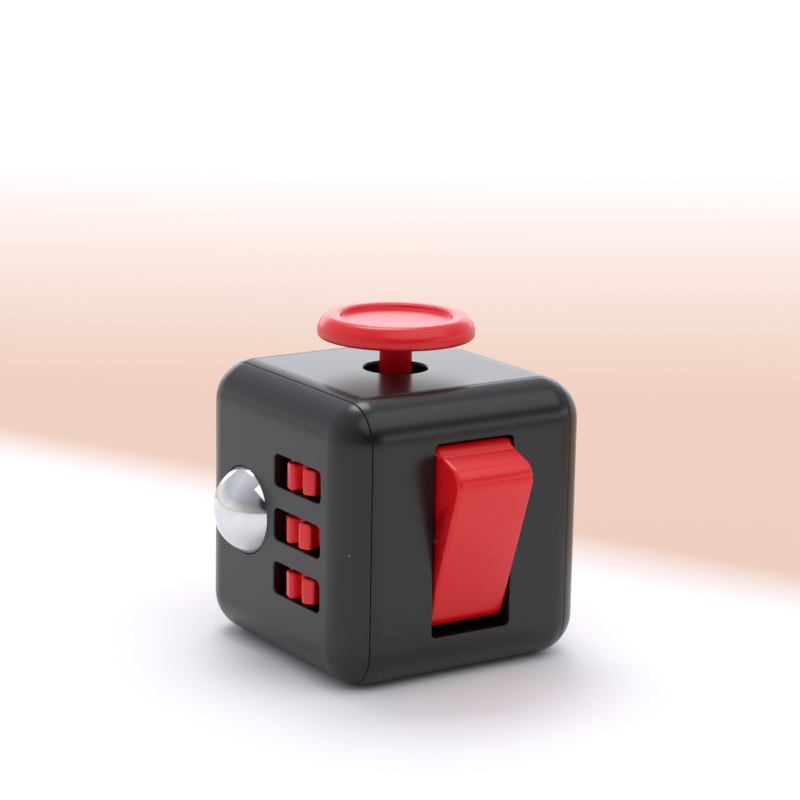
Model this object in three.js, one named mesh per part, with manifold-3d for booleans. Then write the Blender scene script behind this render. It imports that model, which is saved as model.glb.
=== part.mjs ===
// A pocket fidget cube: a 33 mm rounded plastic cube with a different fidget on each face.
//   +Z  glide: a small thumb joystick        -Z  a dished worry stone
//   -Y  flip: a rocker bar                   +Y  spin: a flat dial
//   -X  roll: three gears and a pressing ball  +X  click: five buttons
// Millimetres, +Z up. Every module is drawn about the cube's centre, and the whole group is
// then lifted and centred so that the origin is the bottom centre of the object's own box.

import * as THREE from 'three';
import { mergeVertices } from 'three/addons/utils/BufferGeometryUtils.js';
import { RoundedBoxGeometry } from 'three/addons/geometries/RoundedBoxGeometry.js';
import Module from 'manifold-3d';

const wasm = await Module();
wasm.setup();

// ---------------------------------------------------------------- driving dimensions

const SIDE = 33;                 // across the cube's flats
const HALF = SIDE / 2;
const EDGE = 4.9;                // rounding of every outside edge
const WALL = 1.6;                // shell thickness
const INSIDE = HALF - WALL;      // inner face of every wall
const CAP_SEAM = 13.3;           // where the two side caps meet the ring of four panels
const PLATE_SEAM = 11.9;         // where the top and bottom plates meet the front and back
const SEAM_GAP = 0.2;            // width of every seam
const RUN = 0.3;                 // clearance between moving and fixed pieces
const ROW_Z = 0.1;               // height of the ball's centre above mid height

const DISC_R = 9.15;             // joystick cap
const DISC_LOW = 19.75;          // underside of the cap above the cube's centre
const DISC_HIGH = 22.75;
const STEM_R = 1.9;
const STICK_HOLE_R = 3.75;
const PIVOT_Z = 11.5;            // centre of the joystick's gimbal

const ROCKER_W = 10.1;
const ROCKER_SLOT_W = 10.6;
const ROCKER_SLOT_H = 22.4;
const ROCKER_PIVOT_Y = -14.05;
const ROCKER_Z = 0.2;            // height of the pivot and the slot above mid height
const ROCKER_TILT = 18.5;        // degrees, either way of upright
const ROCKER_FACE = 4.45;        // front face from the pivot
const ROCKER_NOSE = 10.35;       // half length of the front face, to its unrounded corners
const ROCKER_NOSE_R = 2.3;       // rounding between the face and each end
const ROCKER_END = 10.95;        // half length at the back, so each end has a little draft
const ROCKER_BACK = -1.9;        // back edge from the pivot
const ROCKER_HUB_R = 2.4;        // round hub that the sprung plunger rides on

const GEAR_R = 5;
const GEAR_ROOT_R = 3.5;
const GEAR_TEETH = 8;
const GEAR_T = 3;
const GEAR_X = -12;
const GEAR_Y = -5.5;
const GEAR_ROW_Z = 0.2;          // height of the middle gear above mid height
const GEAR_PITCH = 6.32;         // centre to centre, up the face
const SLOT_W = 10;
const SLOT_H = 3.75;
const AXLE_R = 0.8;

const BALL_R = 5.6;
const BALL_X = -14.2;
const BALL_Y = 6.25;
const BALL_HOLE_R = 5.2;

const BUTTON_R = 2.9;
const BUTTON_SPACING = 6.2;      // from the middle button to the others, each way
const BUTTON_PROUD = 1.3;

const DIAL_R = 8.7;
const DIAL_PROUD = 0.8;

const SCREW_R = 0.7;             // thread
const SCREW_HEAD_R = 1.4;
const SCREW_HEAD_H = 0.9;

// ---------------------------------------------------------------- materials

const finish = (color, roughness, metalness = 0) =>
  new THREE.MeshStandardMaterial({ color, roughness, metalness });
const blackShell = () => finish(0x17171a, 0.35);
const blackInner = () => finish(0x202024, 0.5);
const redPlastic = () => finish(0xc8141c, 0.3);
const chrome = () => finish(0xdcdee0, 0.08, 1);
const steel = () => finish(0xa8abb0, 0.3, 1);
const rubber = () => finish(0xb9bcc0, 0.8);

// ---------------------------------------------------------------- solids and booleans

const cube = new THREE.Group();

/** Turn a closed three.js geometry into a manifold solid. */
function solid(geometry) {
  geometry.deleteAttribute('normal');
  geometry.deleteAttribute('uv');
  const merged = mergeVertices(geometry, 1e-4);
  return new wasm.Manifold(new wasm.Mesh({
    numProp: 3,
    vertProperties: new Float32Array(merged.attributes.position.array),
    triVerts: new Uint32Array(merged.index.array),
  }));
}

/** Give a manifold solid back as a three.js geometry. */
function geometryOf(shape) {
  const mesh = shape.getMesh();
  const geometry = new THREE.BufferGeometry();
  geometry.setAttribute('position', new THREE.BufferAttribute(mesh.vertProperties, 3));
  geometry.setIndex(new THREE.BufferAttribute(mesh.triVerts, 1));
  geometry.computeVertexNormals();
  return geometry;
}

/** Join any number of solids into one. */
const join = (first, ...others) => others.reduce((whole, part) => whole.add(part), first);

/** Take any number of solids away from the first. */
const cut = (first, ...others) => others.reduce((whole, part) => whole.subtract(part), first);

/** Add a piece to the cube as a named mesh. */
function piece(name, shape, material) {
  const mesh = new THREE.Mesh(geometryOf(shape), material);
  mesh.name = name;
  cube.add(mesh);
  return mesh;
}

/** A box between two opposite corners. */
function block([x0, y0, z0], [x1, y1, z1]) {
  const geometry = new THREE.BoxGeometry(x1 - x0, y1 - y0, z1 - z0);
  return solid(geometry.translate((x0 + x1) / 2, (y0 + y1) / 2, (z0 + z1) / 2));
}

/** A cube of the given half side with all its edges rounded. */
function roundedCube(half, radius, segments) {
  return solid(new RoundedBoxGeometry(2 * half, 2 * half, 2 * half, segments, radius));
}

// Turn a shape drawn about the +Y axis, as three.js lathes are, to lie along another axis.
const TURN = {
  x: new THREE.Matrix4().set(0, 1, 0, 0, 0, 0, 1, 0, 1, 0, 0, 0, 0, 0, 0, 1),
  y: new THREE.Matrix4(),
  z: new THREE.Matrix4().set(0, 0, 1, 0, 1, 0, 0, 0, 0, 1, 0, 0, 0, 0, 0, 1),
};

/** Spin a profile of [radius, place along the axis] points about an axis through a centre. */
function turned(profile, axis, [x, y, z], segments = 24) {
  const points = profile.map(([radius, along]) => new THREE.Vector2(radius, along));
  const geometry = new THREE.LatheGeometry(points, segments).applyMatrix4(TURN[axis]);
  return solid(geometry.translate(x, y, z));
}

/** A plain rod along an axis, from one place to another. */
function rod(radius, low, high, axis, centre, segments = 16) {
  return turned([[0, low], [radius, low], [radius, high], [0, high]], axis, centre, segments);
}

/** A ring or tube along an axis. */
function tube(inner, outer, low, high, axis, centre, segments = 24) {
  const profile = [[inner, low], [outer, low], [outer, high], [inner, high], [inner, low]];
  return turned(profile, axis, centre, segments);
}

/** A ball. */
function sphere(radius, [x, y, z], across = 28, down = 16) {
  return solid(new THREE.SphereGeometry(radius, across, down).translate(x, y, z));
}

/** Extrude a closed outline of [a, b] points by a thickness centred on its own plane. */
function slab(outline, thickness) {
  const shape = new THREE.Shape(outline.map(([a, b]) => new THREE.Vector2(a, b)));
  return new THREE.ExtrudeGeometry(shape, { depth: thickness, bevelEnabled: false })
    .translate(0, 0, -thickness / 2);
}

/** Points of an outline with its corners rounded, each corner an arc of a few steps. */
function roundedOutline(corners, radius, steps = 4) {
  return corners.flatMap((corner, i) => {
    const here = new THREE.Vector2(...corner);
    const before = new THREE.Vector2(...corners.at(i - 1)).sub(here);
    const after = new THREE.Vector2(...corners[(i + 1) % corners.length]).sub(here);
    const half = Math.acos(before.dot(after) / (before.length() * after.length())) / 2;
    const back = Math.min(radius / Math.tan(half), before.length() / 2.1, after.length() / 2.1);
    const start = here.clone().addScaledVector(before.normalize(), back);
    const end = here.clone().addScaledVector(after.normalize(), back);
    const bend = new THREE.QuadraticBezierCurve(start, here, end);
    return bend.getPoints(steps).map((p) => [p.x, p.y]);
  });
}

/** A coil spring along an axis: a helix of round wire. */
function coil({ radius, wire, low, high, turns, axis, centre: [x, y, z] }) {
  const first = low + wire;
  const rise = high - wire - first;
  class Helix extends THREE.Curve {
    getPoint(t, target = new THREE.Vector3()) {
      const angle = 2 * Math.PI * turns * t;
      return target.set(radius * Math.cos(angle), first + rise * t, radius * Math.sin(angle));
    }
  }
  const section = new THREE.Shape();
  section.absarc(0, 0, wire, 0, 2 * Math.PI);
  const geometry = new THREE.ExtrudeGeometry(section, {
    extrudePath: new Helix(), steps: Math.round(turns * 12), curveSegments: 2, bevelEnabled: false,
  });
  return solid(geometry.applyMatrix4(TURN[axis]).translate(x, y, z));
}

/**
 * A pan-head screw. Its head sits from `head` towards `tip` and its shank ends at `tip`,
 * both places along the axis.
 */
function screw({ axis, centre, head, tip }) {
  const way = Math.sign(tip - head);
  const seat = head + way * SCREW_HEAD_H;
  const profile = [[0, head], [SCREW_HEAD_R * 0.75, head], [SCREW_HEAD_R, head + way * 0.35],
    [SCREW_HEAD_R, seat], [SCREW_R, seat], [SCREW_R, tip - way * 0.5], [0, tip]];
  return turned(way > 0 ? profile : profile.reverse(), axis, centre, 12);
}

/** A boss on a wall, with a blind hole for a screw. */
function boss({ axis, centre, wall, end, radius = 1.5 }) {
  const [low, high] = wall < end ? [wall, end] : [end, wall];
  return rod(radius, low, high, axis, centre, 16);
}

/** The hole a screw threads into, a little wider than the screw. */
function screwHole({ axis, centre, from, to }) {
  const [low, high] = from < to ? [from, to] : [to, from];
  return rod(SCREW_R + 0.1, low, high, axis, centre, 12);
}

// ---------------------------------------------------------------- shell blank

const shellBlank = cut(roundedCube(HALF, EDGE, 4), roundedCube(INSIDE, EDGE - WALL, 2));
const BIG = SIDE;
const capEdge = CAP_SEAM + SEAM_GAP / 2;
const ringEdge = CAP_SEAM - SEAM_GAP / 2;
const plateEdge = PLATE_SEAM - SEAM_GAP / 2;
const panelEdge = PLATE_SEAM + SEAM_GAP / 2;

/** The part of the shell that lies between two corners. */
const shellBetween = (low, high) => shellBlank.intersect(block(low, high));

// ---------------------------------------------------------------- glide: the joystick

const STICK_SCREW_Y = 6.2;
const stickScrews = { joystick_screw_front: -STICK_SCREW_Y, joystick_screw_back: STICK_SCREW_Y };
const RIM_LOW = 12.6;            // flange of the bracket
const RIM_HIGH = 13.6;
const RIM_Y = 8;
const FLOOR_LOW = 5.3;           // floor that the spring stands on
const FLOOR_HIGH = 6.2;
const GIMBAL_PIN_R = 0.6;
const STICK_HUB_R = 2.3;
const STICK_FOOT_R = 1.3;
const STICK_FOOT = 2.7;          // underside of the foot below the gimbal's centre
const TRUNNION_TIP = 3.7;
const RING_BORE_R = 2.8;
const RING_R = 3.9;
const RING_H = 0.9;              // half height of the gimbal ring
const RING_PIN_TIP = 5.5;
const BRACKET_X = 5.7;
const BRACKET_EAR_X = 4.4;       // inner faces of the two ears

function glide() {
  const plate = join(
    shellBetween([-ringEdge, -plateEdge, 0], [ringEdge, plateEdge, BIG]),
    ...Object.values(stickScrews).map((y) =>
      boss({ axis: 'z', centre: [0, y, 0], wall: INSIDE + 0.3, end: RIM_HIGH + 0.1 })),
  );
  piece('top_plate', cut(
    plate,
    rod(STICK_HOLE_R, INSIDE - 1, HALF + 1, 'z', [0, 0, 0], 32),
    ...Object.values(stickScrews).map((y) =>
      screwHole({ axis: 'z', centre: [0, y, 0], from: RIM_HIGH - 0.5, to: HALF - 0.7 })),
  ), blackShell());

  // The cap is a disc with a rounded rim, dished on top, with a socket for the stem below.
  piece('joystick_cap', turned([
    [0, DISC_LOW + 1], [STEM_R + 0.1, DISC_LOW + 1], [STEM_R + 0.1, DISC_LOW],
    [DISC_R - 1.9, DISC_LOW + 0.3], [DISC_R - 0.15, DISC_LOW + 0.5], [DISC_R, DISC_LOW + 0.8],
    [DISC_R - 0.1, DISC_LOW + 1.5], [DISC_R - 0.6, DISC_HIGH - 0.3], [DISC_R - 1.3, DISC_HIGH],
    [DISC_R - 2.4, DISC_HIGH - 0.1], [6.5, DISC_HIGH - 0.7], [3, DISC_HIGH - 0.85],
    [0, DISC_HIGH - 0.9],
  ], 'z', [0, 0, 0], 32), redPlastic());

  // The stem carries a hub with two trunnions along Y and a foot that stands on the spring.
  piece('joystick_stem', join(
    rod(STEM_R, PIVOT_Z, DISC_LOW + 0.9, 'z', [0, 0, 0]),
    sphere(STICK_HUB_R, [0, 0, PIVOT_Z], 16, 10),
    rod(GIMBAL_PIN_R, -TRUNNION_TIP, TRUNNION_TIP, 'y', [0, 0, PIVOT_Z], 10),
    rod(STICK_FOOT_R, PIVOT_Z - STICK_FOOT, PIVOT_Z - 1.5, 'z', [0, 0, 0], 20),
  ), redPlastic());

  // The gimbal ring turns about X in the bracket and lets the stem turn about Y inside it.
  piece('joystick_gimbal_ring', cut(
    join(
      tube(RING_BORE_R, RING_R, PIVOT_Z - RING_H, PIVOT_Z + RING_H, 'z', [0, 0, 0]),
      rod(GIMBAL_PIN_R, RING_R - 0.6, RING_PIN_TIP, 'x', [0, 0, PIVOT_Z], 10),
      rod(GIMBAL_PIN_R, -RING_PIN_TIP, 0.6 - RING_R, 'x', [0, 0, PIVOT_Z], 10),
    ),
    rod(GIMBAL_PIN_R + 0.1, -5, 5, 'y', [0, 0, PIVOT_Z], 10),
  ), blackInner());

  const ears = [-1, 1].map((side) => {
    const [x0, x1] = side < 0 ? [-BRACKET_X, -BRACKET_EAR_X] : [BRACKET_EAR_X, BRACKET_X];
    return block([x0, -2.6, FLOOR_LOW], [x1, 2.6, RIM_HIGH]);
  });
  piece('joystick_bracket', cut(
    join(
      block([-BRACKET_X, -3.6, FLOOR_LOW], [BRACKET_X, 3.6, FLOOR_HIGH]),
      block([-BRACKET_X, -RIM_Y, RIM_LOW], [BRACKET_X, RIM_Y, RIM_HIGH]),
      ...ears,
    ),
    rod(RING_R + 0.35, RIM_LOW - 1, RIM_HIGH + 1, 'z', [0, 0, 0]),
    rod(GIMBAL_PIN_R + 0.1, -7, 7, 'x', [0, 0, PIVOT_Z], 10),
    ...Object.values(stickScrews).map((y) =>
      screwHole({ axis: 'z', centre: [0, y, 0], from: RIM_LOW - 1, to: RIM_HIGH + 1 })),
  ), blackInner());

  piece('joystick_spring', coil({
    radius: 2, wire: 0.28, low: FLOOR_HIGH + 0.1, high: PIVOT_Z - STICK_FOOT - 0.05, turns: 2.5,
    axis: 'z', centre: [0, 0, 0],
  }), steel());
  for (const [name, y] of Object.entries(stickScrews)) {
    const head = RIM_LOW - 0.1 - SCREW_HEAD_H;
    piece(name, screw({ axis: 'z', centre: [0, y, 0], head, tip: HALF - 1 }), steel());
  }
}

// ---------------------------------------------------------------- flip: the rocker

const TUB_X = 6.7;               // half width, half height and floor of the rocker's housing
const TUB_Z = 12.4;
const TUB_DEPTH = -8.1;
const TUB_TOP = -INSIDE + 0.2;
const TUB_ROOM_X = ROCKER_W / 2 + 0.2;   // the room inside it
const TUB_ROOM_Z = 11.6;
const TUB_FLOOR = 0.6;
const TUB_SCREW_X = 8.6;
const TUB_SCREW_Z = 9.6;
const EAR_LIFT = 1.1;            // gap between the front wall and the housing's ears
const EAR_T = 1;
const GUIDE_R = 2.4;             // tube that the plunger and its spring slide in
const GUIDE_BORE_R = 1.7;
const PLUNGER_R = 1.35;
const flipScrews = { rocker_screw_top: TUB_SCREW_Z, rocker_screw_bottom: -TUB_SCREW_Z };

function flip() {
  const panel = join(
    shellBetween([-ringEdge, -BIG, -BIG], [ringEdge, -panelEdge, BIG]),
    ...Object.values(flipScrews).map((z) => boss({
      axis: 'y', centre: [TUB_SCREW_X, 0, z], wall: -INSIDE - 0.3, end: -INSIDE + 1,
    })),
  );
  piece('front_panel', cut(
    panel,
    block([-ROCKER_SLOT_W / 2, -BIG, ROCKER_Z - ROCKER_SLOT_H / 2],
      [ROCKER_SLOT_W / 2, -INSIDE + 0.5, ROCKER_Z + ROCKER_SLOT_H / 2]),
    ...Object.values(flipScrews).map((z) => screwHole({
      axis: 'y', centre: [TUB_SCREW_X, 0, z], from: -HALF + 0.7, to: -INSIDE + 2,
    })),
  ), blackShell());

  // Side view of the bar about its pivot: [up, out]. The same at both ends.
  const [back, front] = [ROCKER_BACK, ROCKER_FACE];
  const noses = roundedOutline([
    [ROCKER_END, back], [ROCKER_NOSE, front], [-ROCKER_NOSE, front], [-ROCKER_END, back],
  ], ROCKER_NOSE_R).slice(5, 15);
  const outline = [[ROCKER_END, back], ...noses, [-ROCKER_END, back]];
  // Stand the outline up: "up" to +Z, "out" to -Y, thickness along X.
  const upright = new THREE.Matrix4().set(0, 0, 1, 0, 0, -1, 0, 0, 1, 0, 0, 0, 0, 0, 0, 1);
  const lean = new THREE.Matrix4().makeRotationX(THREE.MathUtils.degToRad(ROCKER_TILT));
  const place = new THREE.Matrix4().makeTranslation(0, ROCKER_PIVOT_Y, ROCKER_Z);
  const settle = (geometry) => solid(
    geometry.applyMatrix4(upright).applyMatrix4(lean).applyMatrix4(place));
  // The bar is hollow behind its face, with a web left round the hub.
  const [webEnd, roomEnd, roomTop] = [2.6, 8.4, 2.6];
  const pocket = (side) => settle(slab([
    [side * webEnd, 2 * back], [side * roomEnd, 2 * back], [side * roomEnd, roomTop - 1.4],
    [side * (roomEnd - 1), roomTop], [side * webEnd, roomTop],
  ], ROCKER_W - 3.1));
  const pivot = [0, ROCKER_PIVOT_Y, ROCKER_Z];
  piece('rocker', cut(
    join(settle(slab(outline, ROCKER_W)), rod(ROCKER_HUB_R, -ROCKER_W / 2, ROCKER_W / 2, 'x', pivot, 24)),
    pocket(1), pocket(-1),
    rod(AXLE_R + 0.08, -BIG, BIG, 'x', pivot),
  ), redPlastic());
  piece('rocker_axle', rod(AXLE_R, -TUB_X + 0.1, TUB_X - 0.1, 'x', pivot, 12), steel());

  const guide = [0, 0, ROCKER_Z];
  const tub = join(
    block([-TUB_X, TUB_TOP, -TUB_Z], [TUB_X, TUB_DEPTH, TUB_Z]),
    rod(GUIDE_R, TUB_DEPTH - 0.5, -5.7, 'y', guide, 24),
    ...Object.values(flipScrews).map((z) =>
      block([TUB_X - 0.5, -INSIDE + EAR_LIFT, z - 1.5], [10, -INSIDE + EAR_LIFT + EAR_T, z + 1.5])),
  );
  piece('rocker_housing', cut(
    tub,
    block([-TUB_ROOM_X, -BIG, -TUB_ROOM_Z], [TUB_ROOM_X, TUB_DEPTH - TUB_FLOOR, TUB_ROOM_Z]),
    rod(GUIDE_BORE_R, -10, -6.5, 'y', guide, 24),
    rod(AXLE_R + 0.15, -BIG, BIG, 'x', pivot, 12),
    block([-BIG, -BIG, ROCKER_Z - AXLE_R - 0.15], [BIG, ROCKER_PIVOT_Y, ROCKER_Z + AXLE_R + 0.15]),
    ...Object.values(flipScrews).map((z) => screwHole({
      axis: 'y', centre: [TUB_SCREW_X, 0, z], from: -INSIDE, to: -10,
    })),
  ), blackInner());
  for (const [name, z] of Object.entries(flipScrews)) {
    const head = -INSIDE + EAR_LIFT + EAR_T + 0.1 + SCREW_HEAD_H;
    piece(name, screw({ axis: 'y', centre: [TUB_SCREW_X, 0, z], head, tip: -HALF + 1 }), steel());
  }

  // The sprung plunger rides on the rocker's round hub and snaps it over to either side.
  const tip = ROCKER_PIVOT_Y + ROCKER_HUB_R + 0.1;
  const skirt = -8.5;
  const seat = -10.1;
  piece('rocker_plunger', turned([
    [0, tip], [0.8, tip + 0.25], [PLUNGER_R, tip + 0.9], [PLUNGER_R, skirt],
    [PLUNGER_R - 0.2, skirt], [PLUNGER_R - 0.2, seat], [0, seat],
  ], 'y', guide, 20), steel());
  piece('rocker_spring', coil({
    radius: 0.85, wire: 0.2, low: seat + 0.1, high: -6.6, turns: 5, axis: 'y', centre: guide,
  }), steel());
}

// ---------------------------------------------------------------- roll: gears and ball

const gears = { gear_top: 1, gear_middle: 0, gear_bottom: -1 };
const GEAR_PHASE = { gear_top: 28, gear_middle: 21, gear_bottom: 28 };
const gearZ = (step) => GEAR_ROW_Z + step * GEAR_PITCH;
const ARM_IN = 8.25;             // inner faces of the gear bracket's arms from the row's middle
const ARM_T = 1.5;
const gearScrews = { gear_screw_top: 1, gear_screw_bottom: -1 };
const GEAR_SCREW_Y = -9.5;
const GEAR_SCREW_Z = 11.6;
const ballScrews = { ball_screw_top: 1, ball_screw_bottom: -1 };
const BALL_SCREW_Z = 9;
const BARREL_MOUTH = -14;        // open end of the ball housing
const BARREL_R = 6.45;
const BARREL_BORE_R = 5.85;
const SEAT_LOW = -10.1;          // the spinning seat, from its cup to the tip of its spindle
const SEAT_BACK = -7.9;
const SEAT_TIP = -6.9;
const BRACKET_FACE = -14;        // the gear bracket's extent in from the face
const BRACKET_DEEP = -9.5;
const ARM_NEAR_Y = -3.8;
const SPINE_Y = -12.6;
const SPRING_X = -6.5;           // face of the click spring
const SPRING_T = 0.3;
const EAR_LOW = -12.6;
const EAR_HIGH = -11.6;

/** One eight-toothed wheel: broad teeth with rounded tips. */
function gearWheel(phase, z) {
  const step = 2 * Math.PI / GEAR_TEETH;
  const turnedBy = THREE.MathUtils.degToRad(phase);
  // Angles across one tooth, as parts of the pitch, with the radius at each.
  const tooth = [[-0.3, GEAR_ROOT_R], [-0.25, GEAR_R - 0.4], [-0.17, GEAR_R],
    [0.17, GEAR_R], [0.25, GEAR_R - 0.4], [0.3, GEAR_ROOT_R]];
  const outline = Array.from({ length: GEAR_TEETH }, (_, i) => tooth.map(([part, radius]) => {
    const angle = turnedBy + (i + part) * step;
    return [radius * Math.cos(angle), radius * Math.sin(angle)];
  })).flat();
  return cut(
    solid(slab(outline, GEAR_T).translate(GEAR_X, GEAR_Y, z)),
    rod(AXLE_R + 0.08, -BIG, BIG, 'z', [GEAR_X, GEAR_Y, 0], 12),
  );
}

function roll() {
  const slots = Object.values(gears).map((step) => {
    const w = SLOT_W / 2;
    const h = SLOT_H / 2;
    const outline = roundedOutline([[-w, -h], [w, -h], [w, h], [-w, h]], 1, 3);
    // Outline across Y and up Z, thickness along X.
    const facing = new THREE.Matrix4().set(0, 0, 1, 0, 1, 0, 0, 0, 0, 1, 0, 0, 0, 0, 0, 1);
    return solid(slab(outline, 6).applyMatrix4(facing).translate(-HALF, GEAR_Y, gearZ(step)));
  });
  const gearBoss = Object.values(gearScrews).map((side) => ({
    axis: 'x', centre: [0, GEAR_SCREW_Y, side * GEAR_SCREW_Z],
  }));
  const ballBoss = Object.values(ballScrews).map((side) => ({
    axis: 'x', centre: [0, BALL_Y, ROW_Z + side * BALL_SCREW_Z],
  }));
  const cap = join(
    shellBetween([-BIG, -BIG, -BIG], [-capEdge, BIG, BIG]),
    ...[...gearBoss, ...ballBoss].map((where) =>
      boss({ ...where, wall: -INSIDE - 0.3, end: EAR_LOW - 0.1 })),
  );
  piece('left_cap', cut(
    cap, ...slots,
    rod(BALL_HOLE_R, -BIG, -INSIDE + 1, 'x', [0, BALL_Y, ROW_Z], 32),
    sphere(BALL_R + 0.2, [BALL_X, BALL_Y, ROW_Z], 32, 16),
    ...[...gearBoss, ...ballBoss].map((where) =>
      screwHole({ ...where, from: -HALF + 0.7, to: EAR_LOW })),
  ), blackShell());

  for (const [name, step] of Object.entries(gears)) {
    piece(name, gearWheel(GEAR_PHASE[name], gearZ(step)), redPlastic());
  }
  piece('gear_axle', rod(AXLE_R, -ARM_IN - ARM_T + 0.1, ARM_IN + ARM_T - 0.1, 'z',
    [GEAR_X, GEAR_Y, GEAR_ROW_Z], 12), steel());

  // The bracket is an open C: two arms, a spine and an ear beyond each arm for its screw.
  const arms = [-1, 1].flatMap((side) => {
    const inner = GEAR_ROW_Z + side * ARM_IN;
    const outer = GEAR_ROW_Z + side * (ARM_IN + ARM_T);
    const [low, high] = [Math.min(inner, outer), Math.max(inner, outer)];
    const earEnd = side * (GEAR_SCREW_Z + 1.4);
    return [
      block([BRACKET_FACE, SPINE_Y, low], [BRACKET_DEEP, ARM_NEAR_Y, high]),
      block([BRACKET_DEEP - 0.5, -7.8, low], [SPRING_X - 0.1, ARM_NEAR_Y, high]),
      block([EAR_LOW + 0.3, -11.2, Math.min(inner, earEnd)], [EAR_HIGH, -7.8, Math.max(inner, earEnd)]),
    ];
  });
  piece('gear_bracket', cut(
    join(
      block([BRACKET_FACE, SPINE_Y, GEAR_ROW_Z - ARM_IN - ARM_T],
        [BRACKET_DEEP, SPINE_Y + 1.2, GEAR_ROW_Z + ARM_IN + ARM_T]),
      ...arms,
    ),
    rod(AXLE_R + 0.05, -BIG, BIG, 'z', [GEAR_X, GEAR_Y, 0], 12),
    ...gearBoss.map((where) => screwHole({ ...where, from: -14, to: -10 })),
  ), blackInner());
  for (const [name, side] of Object.entries(gearScrews)) {
    piece(name, screw({
      axis: 'x', centre: [0, GEAR_SCREW_Y, side * GEAR_SCREW_Z],
      head: EAR_HIGH + 0.1 + SCREW_HEAD_H, tip: -HALF + 1,
    }), steel());
  }

  // One pressed strip with three fingers, each just clear of its wheel's teeth.
  const stripY = -7.6;
  const strip = block(
    [SPRING_X, stripY, GEAR_ROW_Z - 9.5], [SPRING_X + SPRING_T, stripY + 1, GEAR_ROW_Z + 9.5]);
  const fingers = Object.values(gears).map((step) => block(
    [SPRING_X, stripY, gearZ(step) - 1], [SPRING_X + SPRING_T, ARM_NEAR_Y - 0.1, gearZ(step) + 1]));
  piece('gear_click_spring', join(strip, ...fingers), steel());

  ball(ballBoss);
}

/** The chromed ball, its spinning seat, the sprung plunger and their housing. */
function ball(ballBoss) {
  const centre = [0, BALL_Y, ROW_Z];
  piece('ball', sphere(BALL_R, [BALL_X, BALL_Y, ROW_Z], 28, 16), chrome());
  piece('ball_seat', cut(
    turned([
      [0, SEAT_LOW], [3.6, SEAT_LOW], [3.6, SEAT_BACK], [0.9, SEAT_BACK], [0.9, SEAT_TIP], [0, SEAT_TIP],
    ], 'x', centre),
    sphere(BALL_R + 0.12, [BALL_X, BALL_Y, ROW_Z], 28, 16),
  ), blackInner());
  piece('ball_plunger', tube(1.05, 4.1, SEAT_BACK + 0.15, SEAT_BACK + 1.15, 'x', centre, 28), blackInner());
  piece('ball_spring', coil({
    radius: 3.1, wire: 0.3, low: -6.65, high: -4.5, turns: 2, axis: 'x', centre,
  }), steel());
  const barrel = turned([
    [BARREL_BORE_R, BARREL_MOUTH], [BARREL_R, BARREL_MOUTH], [BARREL_R, -8.2], [5, -8.2], [5, -3.4],
    [0, -3.4], [0, -4.4], [4.3, -4.4], [4.3, -9], [BARREL_BORE_R, -9.2], [BARREL_BORE_R, BARREL_MOUTH],
  ], 'x', centre, 28);
  const ears = [-1, 1].map((side) => {
    const near = ROW_Z + side * 6.2;
    const far = ROW_Z + side * (BALL_SCREW_Z + 1.5);
    return block([EAR_LOW, BALL_Y - 1.6, Math.min(near, far)], [EAR_HIGH, BALL_Y + 1.6, Math.max(near, far)]);
  });
  piece('ball_housing', cut(
    join(barrel, ...ears),
    ...ballBoss.map((where) => screwHole({ ...where, from: -14, to: -10 })),
  ), blackInner());
  for (const [name, side] of Object.entries(ballScrews)) {
    piece(name, screw({
      axis: 'x', centre: [0, BALL_Y, ROW_Z + side * BALL_SCREW_Z],
      head: EAR_HIGH + 0.1 + SCREW_HEAD_H, tip: -HALF + 1,
    }), steel());
  }
}

// ---------------------------------------------------------------- click: five buttons

const clickScrews = { click_screw_left: -1, click_screw_right: 1 };
const CLICK_SCREW_Y = 10.4;
const BACKPLATE_LOW = 9.4;
const BACKPLATE_HIGH = 10.5;
const FLANGE_LOW = 13.6;         // back of each button's flange
const FLANGE_R = 3.7;
const DOME_R = 3.2;              // foot and crown of each rubber dome
const DOME_TOP_R = 1.8;
const DOME_TOP = 13.5;

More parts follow.
